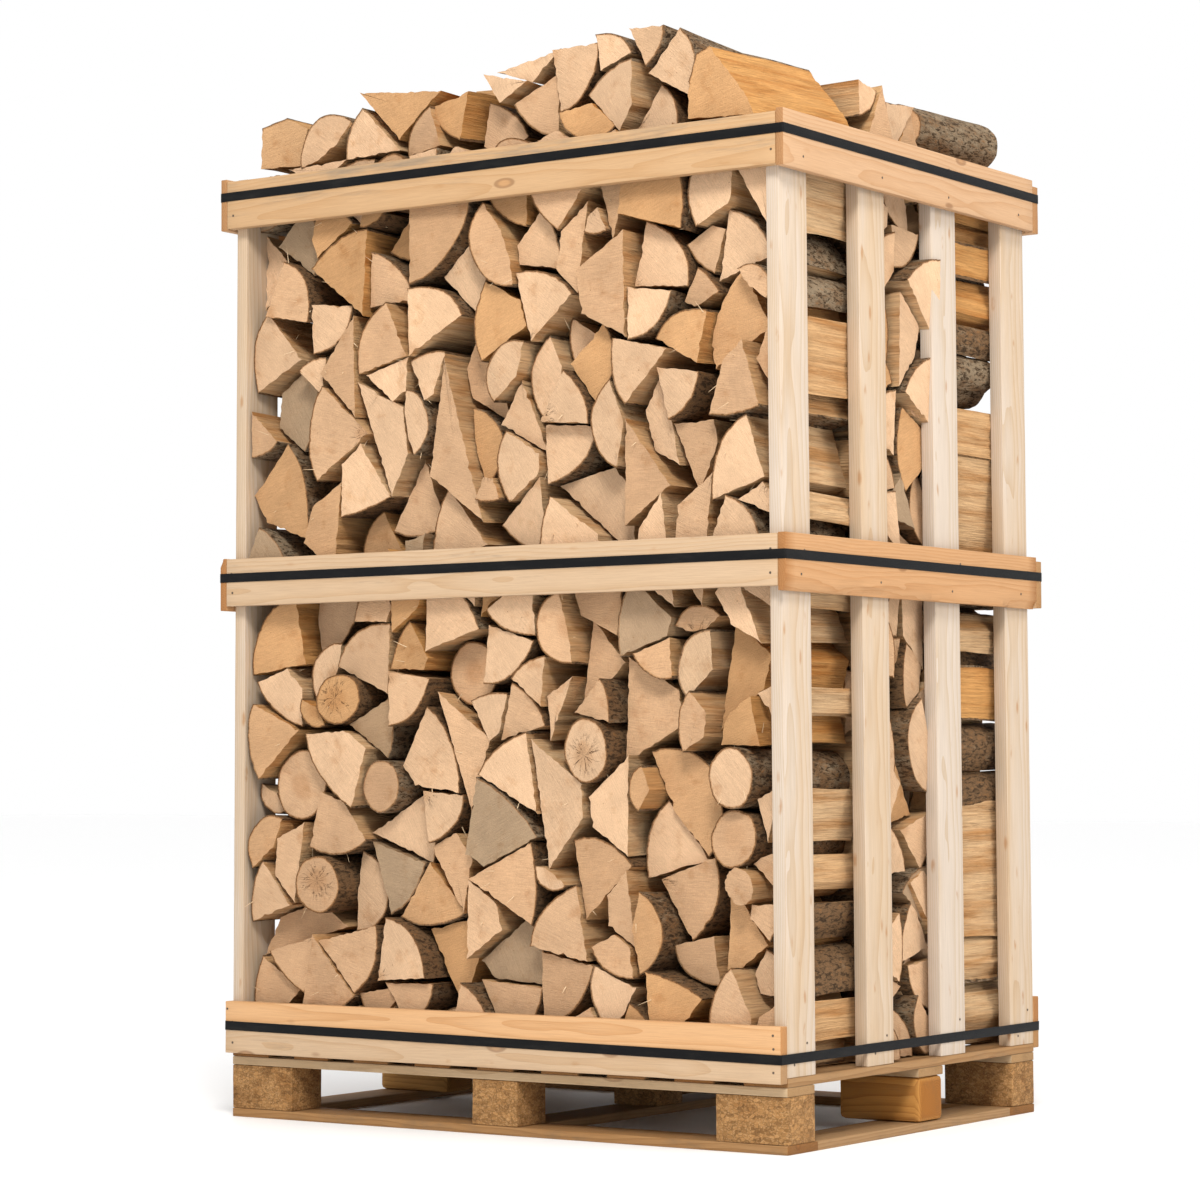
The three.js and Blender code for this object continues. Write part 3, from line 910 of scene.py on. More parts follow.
def fill(heights, low, limit, rng, rounds=()):
    """Lays logs from the lowest place up until no more fit under the limit."""
    pool = [choices(split_outline(rng), rng) for _ in range(POOL)]
    waiting = list(rounds)
    shut = np.zeros(len(heights), bool)
    laid = []

    def place(start, rest, option):
        pose, _, over, left = option
        shift = np.array([low + start * COLUMN - left, rest])
        laid.append(shifted(pose, shift))
        heights[start:start + len(over)] = rest + over
        shut[max(0, start - 4):start + len(over) + 4] = False

    while True:
        level = np.where(shut, np.inf, bridged(heights))
        spot = int(level.argmin())
        if not np.isfinite(level[spot]):
            return laid
        for noted in waiting:
            x, z, radius = noted
            column = int((x - low) / COLUMN)
            if heights[max(0, column - 8):column + 8].max() > z - radius - 0.012:
                shape = split_outline(rng, "round", math.pi * radius * radius)
                best = lay(heights, limit, choices(shape, rng), column, reach=6)
                if best:
                    place(*best[1:])
                waiting.remove(noted)
                break
        else:
            best = None
            for index, options in enumerate(pool):
                trial = lay(heights, limit, options, spot)
                if trial and (best is None or trial[0] < best[0][0]):
                    best = (trial, index)
                if best and index >= POOL // 2 and best[0][0] < GOOD_ENOUGH:
                    break
            if best is None:
                shut[max(0, spot - 3):spot + 4] = True
                area = rng.uniform(*PLUG_AREAS)
                pool[int(rng.integers(POOL))] = choices(split_outline(rng, area=area), rng)
                continue
            place(*best[0][1:])
            pool[best[1]] = choices(split_outline(rng), rng)


print("each log is tried in", TURNS, "turns, and", POOL, "logs are at hand")


# %% [markdown]
# A good stacker then pushes small logs into the holes that are left and knocks the rest
# tight. Both jobs need to know which places are free, so the row's end is kept as a grid
# of small cells. A hole takes the largest of many trial logs that fits, and every log
# swells a little until it touches its neighbours.

# %% Fill the holes
CELL = 0.003
STACK_FLOOR = 0.1236
STACK_CEILING = 1.90
LARGEST_HOLE = 34  # cells
HOLE_ROUNDS = 14  # searches for each size of hole
TRIALS = 26  # logs tried in each search
WALL_REACH = 0.06  # a log this near to the side is pushed against it
SWELLING = (1.16, 1.12, 1.09, 1.06, 1.03)


class Grid:
    """Counts how many logs cover each small cell of the row's end."""

    def __init__(self, low, high, bottom, top):
        self.low, self.bottom = low, bottom
        self.count = np.zeros((int((top - bottom) / CELL), int((high - low) / CELL)), np.int16)

    def cover(self, points):
        """The cells inside an outline, or None where it runs out of the grid."""
        at = (points - (self.low, self.bottom)) / CELL
        first = np.floor(at.min(axis=0) + 0.2).astype(int)
        last = np.ceil(at.max(axis=0) - 0.2).astype(int)
        if (first < 0).any() or last[0] > self.count.shape[1] or last[1] > self.count.shape[0]:
            return None
        low, high = spans(at, first[0], last[0] - first[0], 1.0)
        z = (np.arange(first[1], last[1]) + 0.5)[:, None]
        return slice(first[1], last[1]), slice(first[0], last[0]), (z > low) & (z < high)

    def stamp(self, points, amount):
        spot = self.cover(points)
        if spot:
            self.count[spot[0], spot[1]] += (amount * spot[2]).astype(np.int16)

    def free(self, points, allowed=1):
        spot = self.cover(points)
        return bool(spot) and int((self.count[spot[0], spot[1]][spot[2]] > 0).sum()) <= allowed

    def holes(self, size):
        """The middles of free squares, size cells wide."""
        taken = np.pad((self.count > 0).astype(np.int32).cumsum(0).cumsum(1), ((1, 0), (1, 0)))
        box = taken[size:, size:] - taken[:-size, size:] - taken[size:, :-size] + taken[:-size, :-size]
        row, column = np.nonzero(box == 0)
        return np.column_stack([self.low + (column + size / 2) * CELL, self.bottom + (row + size / 2) * CELL])


def tighten(laid, half, top, rng, smallest):
    """Plugs the holes and swells every log until it touches."""
    grid = Grid(-half, half, STACK_FLOOR - 0.001, STACK_CEILING)
    for log in laid:
        grid.stamp(log["points"], 1)
    for size in range(LARGEST_HOLE, smallest - 1, -2):
        for _ in range(HOLE_ROUNDS):
            places = grid.holes(size)
            places = places[places[:, 1] < top - size * CELL]
            if not len(places):
                break
            best = None
            for _ in range(TRIALS):
                area = (size * CELL) ** 2 * rng.uniform(0.95, 1.9)
                kind = rng.choice(KINDS[:4])
                shape = turned(split_outline(rng, kind, area), rng.uniform(0, 2 * math.pi))
                middle = places[int(rng.integers(len(places)))] - shape["points"].mean(axis=0)
                trial = moved(shape, 1.0, middle)
                if (best is None or area > best[0]) and grid.free(trial["points"], 3):
                    best = (area, trial)
            if best:
                laid.append(best[1])
                grid.stamp(best[1]["points"], 1)
    for log in laid:
        if "name" in log:
            continue
        grid.stamp(log["points"], -1)
        for wall, edge in ((-half, log["points"][:, 0].min()), (half, log["points"][:, 0].max())):
            if abs(wall - edge) >= WALL_REACH:
                continue
            for share in (0.98, 0.7, 0.4):
                trial = moved(log, 1.0, ((wall - edge) * share, 0))
                if grid.free(trial["points"], 2):
                    log.update(trial)
                    break
        for scale in SWELLING:
            shifts = [(0, 0), *rng.normal(0, 0.004, (5, 2))]
            fits = [moved(log, scale, shift) for shift in shifts]
            fits = [trial for trial in fits if grid.free(trial["points"], 2)]
            if fits:
                log.update(fits[0])
                break
        grid.stamp(log["points"], 1)
    return laid


print("holes are looked for in cells of", CELL, "metres")


# %% [markdown]
# The three rows of the stack. The front and the back row lie along Y, so their sawn
# ends show on the open sides. The middle row lies across, four short columns of logs in
# a line, and shows its ends between the slats. Above the top rails the same stacking
# goes on as a low mound.

# %% The rows
ROW_HALF = 0.5565
FILL_TOP = 1.712
SHUT_HEIGHT = 9.0  # nothing more is laid on a column that is this high


def mound(at, corners):
    xs, zs = zip(*corners)
    return np.interp(at, xs, zs)


def stack_row(seed, half, top_corners, rounds=(), tops=(), smallest=14):
    """One row of logs, lowest first. Rounds are whole logs, tops are set logs on the pile."""
    rng = np.random.default_rng(seed)
    count = int(2 * half / COLUMN)
    at = -half + (np.arange(count) + 0.5) * COLUMN
    heights = np.full(count, STACK_FLOOR)
    laid = fill(heights, -half, np.full(count, FILL_TOP), rng, rounds)
    for name, x, points, bark in tops:
        shape = {"points": np.array(points, float), "bark": np.array(bark, bool),
                 "heart": np.array([0.0, -0.02])}
        under, over, left = profiles(shape)
        option = (shape, under, over, left)
        column = int((x + half) / COLUMN)
        _, start, rest, _ = lay(heights, np.full(count, SHUT_HEIGHT), [option], column, reach=1)
        laid.append(shifted(shape, np.array([-half + start * COLUMN - left, rest])))
        laid[-1]["name"] = name
        heights[start:start + len(over)] = SHUT_HEIGHT
    laid += fill(heights, -half, mound(at, top_corners), rng)
    laid = tighten(laid, half, FILL_TOP, rng, smallest)
    return sorted(laid, key=lambda log: log["points"][:, 1].mean())


# across, up and radius of the whole rounds in the front row
FRONT_ROUNDS = [
    (-0.407, 0.396, 0.050), (-0.237, 0.577, 0.046), (0.200, 0.591, 0.050),
    (-0.327, 0.770, 0.045), (-0.101, 0.784, 0.052), (0.487, 0.448, 0.030),
]
# name, across, outline and bark of the logs at the ends of the mounds
FRONT_TOPS = [
    ("log_left_corner", -0.494,
     [(-0.057, -0.046), (0.046, -0.050), (0.058, 0.022), (0.010, 0.048), (-0.052, 0.034)],
     [0, 0, 0, 1, 1]),
    ("log_right_corner", 0.474,
     [(-0.070, -0.050), (0.077, -0.058), (0.060, -0.018), (-0.020, 0.082), (-0.050, 0.070), (-0.068, 0.020)],
     [0, 0, 0, 1, 1, 1]),
]
BACK_TOPS = [
    ("log_back_corner", 0.478,
     [(0.066 * math.cos(angle), 0.050 * math.sin(angle)) for angle in np.arange(0, 6.2, 0.33)],
     [1] * 19),
]
# across and up: the tops of the mounds
FRONT_MOUND = [
    (-0.56, 1.795), (-0.43, 1.80), (-0.40, 1.825), (-0.29, 1.848), (-0.20, 1.83), (-0.12, 1.845),
    (0.0, 1.835), (0.13, 1.862), (0.30, 1.872), (0.42, 1.850), (0.47, 1.80), (0.56, 1.77),
]
BACK_MOUND = [
    (-0.56, 1.79), (-0.43, 1.82), (-0.25, 1.85), (0.10, 1.86), (0.40, 1.85), (0.47, 1.79), (0.56, 1.77),
]
front_logs = stack_row(11, ROW_HALF, FRONT_MOUND, FRONT_ROUNDS, FRONT_TOPS, smallest=11)
back_logs = stack_row(12, ROW_HALF, BACK_MOUND, tops=BACK_TOPS, smallest=9)
print("front row", len(front_logs), "logs, back row", len(back_logs), "logs")

MIDDLE_HALF = 0.1168
MIDDLE_COLUMNS = 4
OUTER_MOUND = [(-0.12, 1.80), (0.12, 1.80)]
INNER_MOUND = [(-0.12, 1.868), (0.12, 1.868)]
middle_logs = []
for column in range(MIDDLE_COLUMNS):
    outer = column in (0, MIDDLE_COLUMNS - 1)
    middle_logs.append(stack_row(21 + column, MIDDLE_HALF, OUTER_MOUND if outer else INNER_MOUND))
print("middle row", [len(column) for column in middle_logs], "logs")

# %% [markdown]
# A log's outline is carried along its length. The split faces get ridges that run with
# the fibres, bark gets lower bumps, and the sawn ends are closed with rings: one just
# inside the edge so that the bark's rim stays thin, and one halfway to the middle. Ends
# that nothing shows are closed with a plain fan.

# %% Log meshes
POINT_SPACING = 0.0085
BARK_THICK = 0.0052
INNER_RING = 0.52
END_SLOPE = 0.11
LEAN = 0.014
BOW = 0.0016
WOOD_SINK, BARK_SINK = 0.0024, 0.0014  # depth of the ridges along a log
WOOD_NICK, BARK_NICK = 0.0015, 0.0007  # depth of the notches around it


class Pile:
    """Collects logs and turns them into one plain mesh."""

    def __init__(self, name):
        self.name = name
        self.spots, self.grain, self.tone, self.faces, self.kinds = [], [], [], [], []
        self.count = 0

    def add(self, spots, grain, tone, quads, triangles, quad_kind, triangle_kind):
        """Adds one closed log, with its faces turned outward."""
        halves = np.vstack([quads[:, :3], quads[:, [0, 2, 3]], triangles])
        if volume(spots - spots.mean(axis=0), halves) < 0:
            quads, triangles = quads[:, ::-1], triangles[:, ::-1]
        self.spots.append(spots)
        self.grain.append(grain)
        self.tone.append(tone)
        self.faces += (quads + self.count).tolist() + (triangles + self.count).tolist()
        self.kinds += quad_kind.tolist() + triangle_kind.tolist()
        self.count += len(spots)

    def mesh(self, *finishes):
        mesh = bpy.data.meshes.new(self.name)
        mesh.from_pydata(np.vstack(self.spots).tolist(), [], self.faces)
        for finish in finishes:
            mesh.materials.append(finish)
        mesh.polygons.foreach_set("material_index", np.array(self.kinds, np.int32))
        give_vectors(mesh, "grain", np.vstack(self.grain))
        give_vectors(mesh, "tone", np.vstack(self.tone))
        mesh.shade_smooth()
        mesh.set_sharp_from_angle(angle=math.radians(32))
        mesh.update()
        return mesh


def refined(log, rng, spacing):
    """The outline with points about evenly spaced, and its edges made uneven."""
    points, bark = log["points"], log["bark"]
    fine, flags = [], []
    for index in range(len(points)):
        after = (index + 1) % len(points)
        a, b = points[index], points[after]
        both = bark[index] and bark[after]
        steps = max(1, int(round(np.linalg.norm(b - a) / spacing)))
        share = np.arange(steps)[:, None] / steps
        fine.append(a + (b - a) * share)
        flags += [float(bark[index])] + [float(both)] * (steps - 1)
    fine, flags = np.vstack(fine), np.array(flags)
    if 0.5 * np.sum(fine[:, 0] * np.roll(fine[:, 1], -1) - fine[:, 1] * np.roll(fine[:, 0], -1)) < 0:
        fine, flags = fine[::-1], flags[::-1]
    along = np.roll(fine, -1, axis=0) - np.roll(fine, 1, axis=0)
    inward = np.column_stack([-along[:, 1], along[:, 0]]) / (np.linalg.norm(along, axis=1)[:, None] + 1e-9)
    uneven = np.abs(rng.normal(0, 1, len(fine)))
    depth = np.where(flags > 0.5, BARK_NICK * uneven, WOOD_NICK * uneven)
    return fine + inward * (0.0003 + depth)[:, None], flags, inward


def add_log(pile, log, rng, start, length, axis, detail=8, loose=1.0, spin=0.0, pivot=0.0, spacing=None,
            far_cap=True):
    """Adds one log. Start and length run along the axis, the outline lies across it."""
    ring, bark, inward = refined(log, rng, spacing or POINT_SPACING)
    count = len(ring)
    middle = ring.mean(axis=0)
    stations = np.linspace(0, 1, detail)
    slope = rng.normal(0, END_SLOPE, (2, 2))
    slope *= min(1.0, 0.05 / max(0.02, np.ptp(ring, axis=0).max()))
    ridge = rng.normal(0, 1, (3, count))
    shrink = 1 - rng.uniform(0, 0.05) * stations
    twist = rng.normal(0, 0.02) * stations
    bow = rng.normal(0, BOW, 2)
    lean = rng.normal(0, LEAN, 2) * loose
    levels = []
    for index, share in enumerate(stations):
        wave = (ridge[0] * math.cos(5 * share) + ridge[1] * math.sin(7 * share) + ridge[2]) * 0.5
        calm = 0.25 if share in (0.0, 1.0) else 1.0
        sink = np.where(bark > 0.5, BARK_SINK, WOOD_SINK) * np.abs(wave) * calm
        flat = (ring + inward * sink[:, None] - middle) * shrink[index]
        c, s = math.cos(twist[index]), math.sin(twist[index])
        flat = flat @ np.array([[c, s], [-s, c]])
        w = start + share * length
        tilt = slope[0] * (1 - share) ** 3 + slope[1] * share ** 3
        run = w + flat @ tilt
        offset = bow * math.sin(math.pi * share) + lean * (w - (start + pivot * length))
        levels.append(np.column_stack([flat + middle + offset, run]))
    body = np.vstack(levels)
    around = np.arange(count)
    after = (around + 1) % count
    sides = []
    for index in range(detail - 1):
        base = index * count
        above = base + count
        sides.append(np.column_stack([base + around, base + after, above + after, above + around]))
    blocks, marks = [body], [np.tile(bark, detail)]
    quads, kinds = [np.vstack(sides)], [np.zeros((detail - 1) * count, int)]
    triangles = []
    size = len(body)
    caps = ((0, False), (detail - 1, True)) if far_cap is True else ((0, False),)
    for level, flip in caps:
        edge = levels[level]
        heart = edge.mean(axis=0)
        away = edge - heart
        reach = np.linalg.norm(away, axis=1)[:, None]
        rings = [heart + away * (1 - BARK_THICK / np.maximum(reach, 0.012)), heart + away * INNER_RING]
        previous = level * count
        for inner in rings:
            blocks.append(inner)
            marks.append(np.zeros(count))
            strip = np.column_stack([previous + after, previous + around, size + around, size + after])
            quads.append(strip[:, ::-1] if flip else strip)
            kinds.append(np.ones(count, int))
            previous = size
            size += count
        blocks.append(heart[None])
        marks.append(np.zeros(1))
        fan = np.column_stack([previous + after, previous + around, np.full(count, size)])
        triangles.append(fan[:, ::-1] if flip else fan)
        size += 1
    if far_cap == "fan":
        blocks.append(levels[-1].mean(axis=0)[None])
        marks.append(np.zeros(1))
        base = (detail - 1) * count
        triangles.append(np.column_stack([base + around, base + after, np.full(count, size)]))
        size += 1
    local = np.vstack(blocks)
    seed = rng.uniform(0, 1)
    grain = np.column_stack([local[:, :2] - log["heart"], local[:, 2] + 40 * seed])
    tone = np.column_stack([np.full(len(local), rng.random()), np.concatenate(marks),
                            np.full(len(local), rng.random())])
    if spin:
        centre = np.array([middle[0], middle[1], start + length / 2])
        c, s = math.cos(spin), math.sin(spin)
        turn = np.array([[c, 0, s], [0, 1, 0], [-s, 0, c]])
        local = (local - centre) @ turn.T + centre
    u, v, w = local.T
    if axis == "Y":  # outline in X and Z
        spots = np.column_stack([u, w, v])
    else:  # outline in Y and Z, length along X
        spots = np.column_stack([w, u, v])
    pile.add(spots, grain, tone, np.vstack(quads), np.vstack(triangles), np.concatenate(kinds),
             np.ones(sum(len(fan) for fan in triangles), int))


print("a point on a log's outline every", POINT_SPACING, "metres")


# %% [markdown]
# The sawn end of a beech log is pale tan with faint rings, fine rays, dark pin specks
# and the slanting scratches that the saw leaves. A few ends have weathered grey, a brown
# heart or cracks. The bark shows only as a thin dark rim. The split sides are fibrous and
# more orange, and the bark on them is brown with grey patches.

# %% Log finishes
BARK_DARK = (0.050, 0.030, 0.016)
BARK_BROWN = (0.150, 0.085, 0.042)
BARK_GREY = (0.235, 0.175, 0.112)
BARK_RED = (0.27, 0.12, 0.04)


def bark_colour(s, grain, age):
    patch = s.noise(s.stretch(grain, (48, 48, 20)), 1.0, 5.0, 0.7)
    flake = s.noise(s.stretch(grain, (170, 170, 60)), 1.0, 4.0, 0.7, distortion=0.8)
    grit = s.noise(s.stretch(grain, (600, 600, 300)), 1.0, 3.0, 0.6)
    shift = s.math("MULTIPLY", s.math("SUBTRACT", age, 0.5), 0.3)
    colour = s.mix(s.ramp(s.math("ADD", patch, shift), 0.46, 0.72), BARK_BROWN, BARK_GREY)
    colour = s.mix(s.ramp(flake, 0.52, 0.40), colour, BARK_DARK)
    colour = s.mix(s.math("MULTIPLY", s.ramp(flake, 0.56, 0.68), 0.7), colour, BARK_RED)
    colour = s.shade(colour, s.math("MULTIPLY_ADD", grit, 0.9, 0.55))
    return colour, s.math("MULTIPLY_ADD", flake, 1.1, s.math("MULTIPLY", grit, 0.4))


def wood_tone(s, tint, age, pale, tan, orange, grey):
    colour = s.mix(s.ramp(tint, 0.15, 0.75), pale, tan)
    colour = s.mix(s.ramp(tint, 0.78, 0.90), colour, orange)
    return s.mix(s.ramp(age, 0.93, 0.98), colour, grey)


def log_end():
    s = Shader("sawn log end")
    grain = s.attribute("grain")
    tint, bark, age = s.split(s.attribute("tone"))
    x, y, z = s.split(grain)
    radius = s.from_heart(x, y)
    wander = s.noise(s.stretch(grain, (28, 28, 1)), 1.0, 2.0)
    rings = s.math("FRACT", s.math("DIVIDE", s.math("MULTIPLY_ADD", wander, 0.012, radius), 0.0034))
    angle = s.math("ARCTAN2", y, x)
    around = s.vector(s.math("MULTIPLY", angle, 26), s.math("MULTIPLY", radius, 40), z)
    rays = s.noise(around, 1.0, 3.0, 0.6)
    lean = s.math("MULTIPLY_ADD", tint, 1.6, 0.4)
    cosine, sine = s.math("COSINE", lean), s.math("SINE", lean)
    across = s.math("ADD", s.math("MULTIPLY", x, cosine), s.math("MULTIPLY", y, sine))
    along = s.math("SUBTRACT", s.math("MULTIPLY", y, cosine), s.math("MULTIPLY", x, sine))
    sawn = s.vector(s.math("MULTIPLY", across, 900), s.math("MULTIPLY", along, 45), z)
    scratch = s.noise(sawn, 1.0, 3.0, 0.6)
    blotch = s.noise(s.stretch(grain, (30, 30, 1)), 1.0, 4.0, 0.6)

    colour = wood_tone(s, tint, age, (0.590, 0.388, 0.236), (0.505, 0.308, 0.172), (0.480, 0.268, 0.122),
                       (0.370, 0.255, 0.155))
    brown = s.mix(1.0, colour, (0.70, 0.56, 0.42), "MULTIPLY")
    colour = s.mix(s.math("MULTIPLY", s.ramp(blotch, 0.52, 0.78), 0.65), colour, brown)
    heart = s.math("MULTIPLY", s.ramp(radius, 0.030, 0.012), s.ramp(age, 0.55, 0.35))
    colour = s.mix(s.math("MULTIPLY", heart, 0.45), colour, brown)
    colour = s.shade(colour, s.math("MULTIPLY_ADD", s.math("POWER", rings, 2.0), -0.07, 1.02))
    colour = s.shade(colour, s.math("MULTIPLY_ADD", rays, 0.20, 0.90))
    colour = s.shade(colour, s.math("MULTIPLY_ADD", scratch, 0.62, 0.69))
    fuzz = s.noise(s.stretch(grain, (420, 420, 1)), 1.0, 3.0, 0.7)
    colour = s.shade(colour, s.math("MULTIPLY_ADD", fuzz, 0.55, 0.73))
    broad = s.noise(s.stretch(grain, (16, 16, 1), (0.4, 0.9, 0)), 1.0, 2.0)
    colour = s.shade(colour, s.math("MULTIPLY_ADD", broad, 0.40, 0.80))
    own = s.math("FRACT", s.math("MULTIPLY", age, 7.31))
    colour = s.shade(colour, s.math("MULTIPLY_ADD", own, 0.22, 0.88))
    specks = s.ramp(s.cells(s.stretch(grain, (60, 60, 1)), 1.0), 0.085, 0.03)
    speck_here = s.ramp(s.noise(s.stretch(grain, (33, 33, 1), (0.3, 0.1, 0)), 1.0, 1.0), 0.50, 0.62)
    speck = s.math("MULTIPLY", s.math("MULTIPLY", specks, speck_here), 0.75)
    colour = s.mix(speck, colour, (0.18, 0.09, 0.035))
    outward = s.vector(s.math("MULTIPLY", angle, 1.6), s.math("MULTIPLY", radius, 12), z)
    crack_line = s.math("ABSOLUTE", s.math("SUBTRACT", s.noise(outward, 1.0, 3.0, 0.7), 0.5))
    crack_here = s.math("MULTIPLY", s.ramp(radius, 0.045, 0.01), s.ramp(age, 0.12, 0.06))
    crack = s.math("MULTIPLY", s.ramp(crack_line, 0.010, 0.002), crack_here)
    colour = s.mix(crack, colour, (0.10, 0.05, 0.02))
    skin, _ = bark_colour(s, grain, age)
    fray = s.noise(s.stretch(grain, (260, 260, 1)), 1.0, 2.0)
    rim = s.ramp(s.math("ADD", bark, s.math("MULTIPLY", s.math("SUBTRACT", fray, 0.5), 0.9)), 0.42, 0.62)
    under_bark = s.math("MULTIPLY", s.ramp(bark, 0.05, 0.45), 0.55)
    colour = s.mix(under_bark, colour, (0.33, 0.155, 0.055))
    colour = s.mix(rim, colour, s.mix(0.4, skin, (0.20, 0.085, 0.028)))
    height = s.math("SUBTRACT", s.math("MULTIPLY_ADD", scratch, 1.0, s.math("MULTIPLY", fuzz, 0.8)),
                    s.math("MULTIPLY", crack, 2.0))
    return s.finish(colour, 0.85, height, 0.0016, 0.08)


def log_side():
    s = Shader("split log side")
    grain = s.attribute("grain")
    tint, bark, age = s.split(s.attribute("tone"))
    broad = s.noise(s.stretch(grain, (45, 45, 3.5)), 1.0, 4.0, 0.6)
    fibre = s.noise(s.stretch(grain, (330, 330, 9)), 1.0, 4.0, 0.65)
    fine = s.noise(s.stretch(grain, (1400, 1400, 60)), 1.0, 2.0)
    colour = wood_tone(s, tint, age, (0.60, 0.392, 0.212), (0.56, 0.335, 0.160), (0.55, 0.280, 0.095),
                       (0.35, 0.235, 0.135))
    deep = s.mix(1.0, colour, (0.70, 0.54, 0.38), "MULTIPLY")
    colour = s.mix(s.ramp(broad, 0.40, 0.70), colour, deep)
    colour = s.shade(colour, s.math("MULTIPLY_ADD", s.ramp(fibre, 0.28, 0.72), 0.42, 0.70))
    colour = s.shade(colour, s.math("MULTIPLY_ADD", fine, 0.30, 0.85))
    dark_line = s.ramp(s.noise(s.stretch(grain, (200, 200, 5), (0.7, 0.2, 0)), 1.0, 3.0, 0.6), 0.66, 0.74)
    colour = s.mix(s.math("MULTIPLY", dark_line, 0.5), colour, (0.20, 0.095, 0.035))
    skin, skin_height = bark_colour(s, grain, age)
    torn = s.noise(s.stretch(grain, (90, 90, 16)), 1.0, 4.0, 0.7)
    cover = s.ramp(s.math("ADD", bark, s.math("MULTIPLY", s.math("SUBTRACT", torn, 0.5), 1.3)), 0.40, 0.56)
    colour = s.mix(cover, colour, skin)
    wood_height = s.math("MULTIPLY_ADD", fibre, 1.3, s.math("MULTIPLY", fine, 0.25))
    height = s.add("ShaderNodeMix", cover, None, wood_height, skin_height)
    return s.finish(colour, 0.86, height, 0.0034, 0.08)


end_finish = log_end()
side_finish = log_side()
print("log finishes", end_finish.name, "and", side_finish.name)

# %% [markdown]
# The rows are laid out log by log. Most of the front logs' ends stand within three
# centimetres of each other, and a few are pushed further in. The logs on the heap lie
# less straight, and the middle row's ends look out between the slats.

# %% Lay the rows
FRONT_FACE = -0.4230
ROW_BACK = -0.1190
RAIL_TOP = 1.688
HEAP_START = RAIL_TOP + 0.06  # a log that reaches above this belongs to the heap
HALF_HEIGHT = 0.92  # the rows' logs below and above this are two meshes
NAMED_RECESS = 0.012
HEAP_TRIM = 0.006
HEAP_SPIN, MOST_SPIN = 0.06, 0.10
SPIN_ROOM = 1.2  # a turned log is made slimmer by its turn times this
SLAT_SIDE = 0.50  # logs past this are seen from the side, between the slats
SPLIT_SHARE = 0.55  # of those, the part with a split face turned outward


def recess(rng):
    return rng.uniform(0.030, 0.065) if rng.random() < 0.18 else abs(rng.normal(0, 0.015))


def is_heaped(log):
    return log["points"][:, 1].max() > HEAP_START


def lay_row(name, logs, side, seed):
    """A row along Y, side -1 in front and 1 behind. Gives lower, upper, heap and single logs."""
    rng = np.random.default_rng(seed)
    lower, upper, heap = (Pile(f"{name}_{part}_logs") for part in ("lower", "upper", "heap"))
    single = []
    for log in logs:
        heaped = is_heaped(log)
        pile = lower if log["points"][:, 1].mean() < HALF_HEIGHT else upper
        back = rng.uniform(0.0, 0.012)
        front = recess(rng)
        loose, spin, pivot = 1.0, 0.0, 0.0
        if heaped:
            pile = heap
        if "name" in log:
            pile = Pile(log["name"] + "_split")
            single.append(pile)
            front = NAMED_RECESS
        length = ROW_BACK - FRONT_FACE - front - back
        if heaped:
            loose, pivot = 1.6, 0.5
            spin = np.clip(rng.normal(0, HEAP_SPIN), -MOST_SPIN, MOST_SPIN)
            middle = log["points"].mean(axis=0)
            log["points"] = middle + (log["points"] - middle) * (1 - SPIN_ROOM * abs(spin))
            front += HEAP_TRIM
            length -= 2 * HEAP_TRIM
        elif side < 0 and log["points"][:, 0].max() > SLAT_SIDE and rng.random() < SPLIT_SHARE:
            log["bark"] = np.zeros(len(log["bark"]), bool)
        if side < 0:
            add_log(pile, log, rng, FRONT_FACE + front, length, "Y", 8, loose, spin, pivot)
        else:
            add_log(pile, log, rng, -FRONT_FACE - front, -length, "Y", 8, loose, spin, pivot)
    return lower, upper, heap, single


def show_pile(pile, slot, *nodes):
    shown(pile.name, pile.mesh(side_finish, end_finish), slot, *nodes)
    print(pile.name, "triangles", sum(len(face) - 2 for face in pile.faces))


front_lower, front_upper, front_heap, front_single = lay_row("front_row", front_logs, -1, 31)
back_lower, back_upper, back_heap, back_single = lay_row("back_row", back_logs, 1, 32)
show_pile(front_lower, "split_beech", "logs_front_row")
show_pile(front_upper, "split_beech", "logs_front_row")
show_pile(front_heap, "split_beech", "heap_front")
for pile in front_single:
    show_pile(pile, "split_beech", pile.name.removesuffix("_split"))
show_pile(back_lower, "split_beech", "logs_back_row")
show_pile(back_upper, "split_beech", "logs_back_row")
show_pile(back_heap, "split_beech", "heap_back")
for pile in back_single:
    show_pile(pile, "beech_bark", pile.name.removesuffix("_split"))

MIDDLE_REACH = 0.5530
MIDDLE_FACE = 0.5580  # where the right column's ends are, seen between the slats
COLUMN_LENGTH = 2 * MIDDLE_REACH / MIDDLE_COLUMNS
NOTED_END = (0.075, 1.447)  # across and up: one end stands out between the right slats
NOTED_FACE = 0.5780
STICK_OUT = 0.018
HIDDEN_SPACING = 0.02

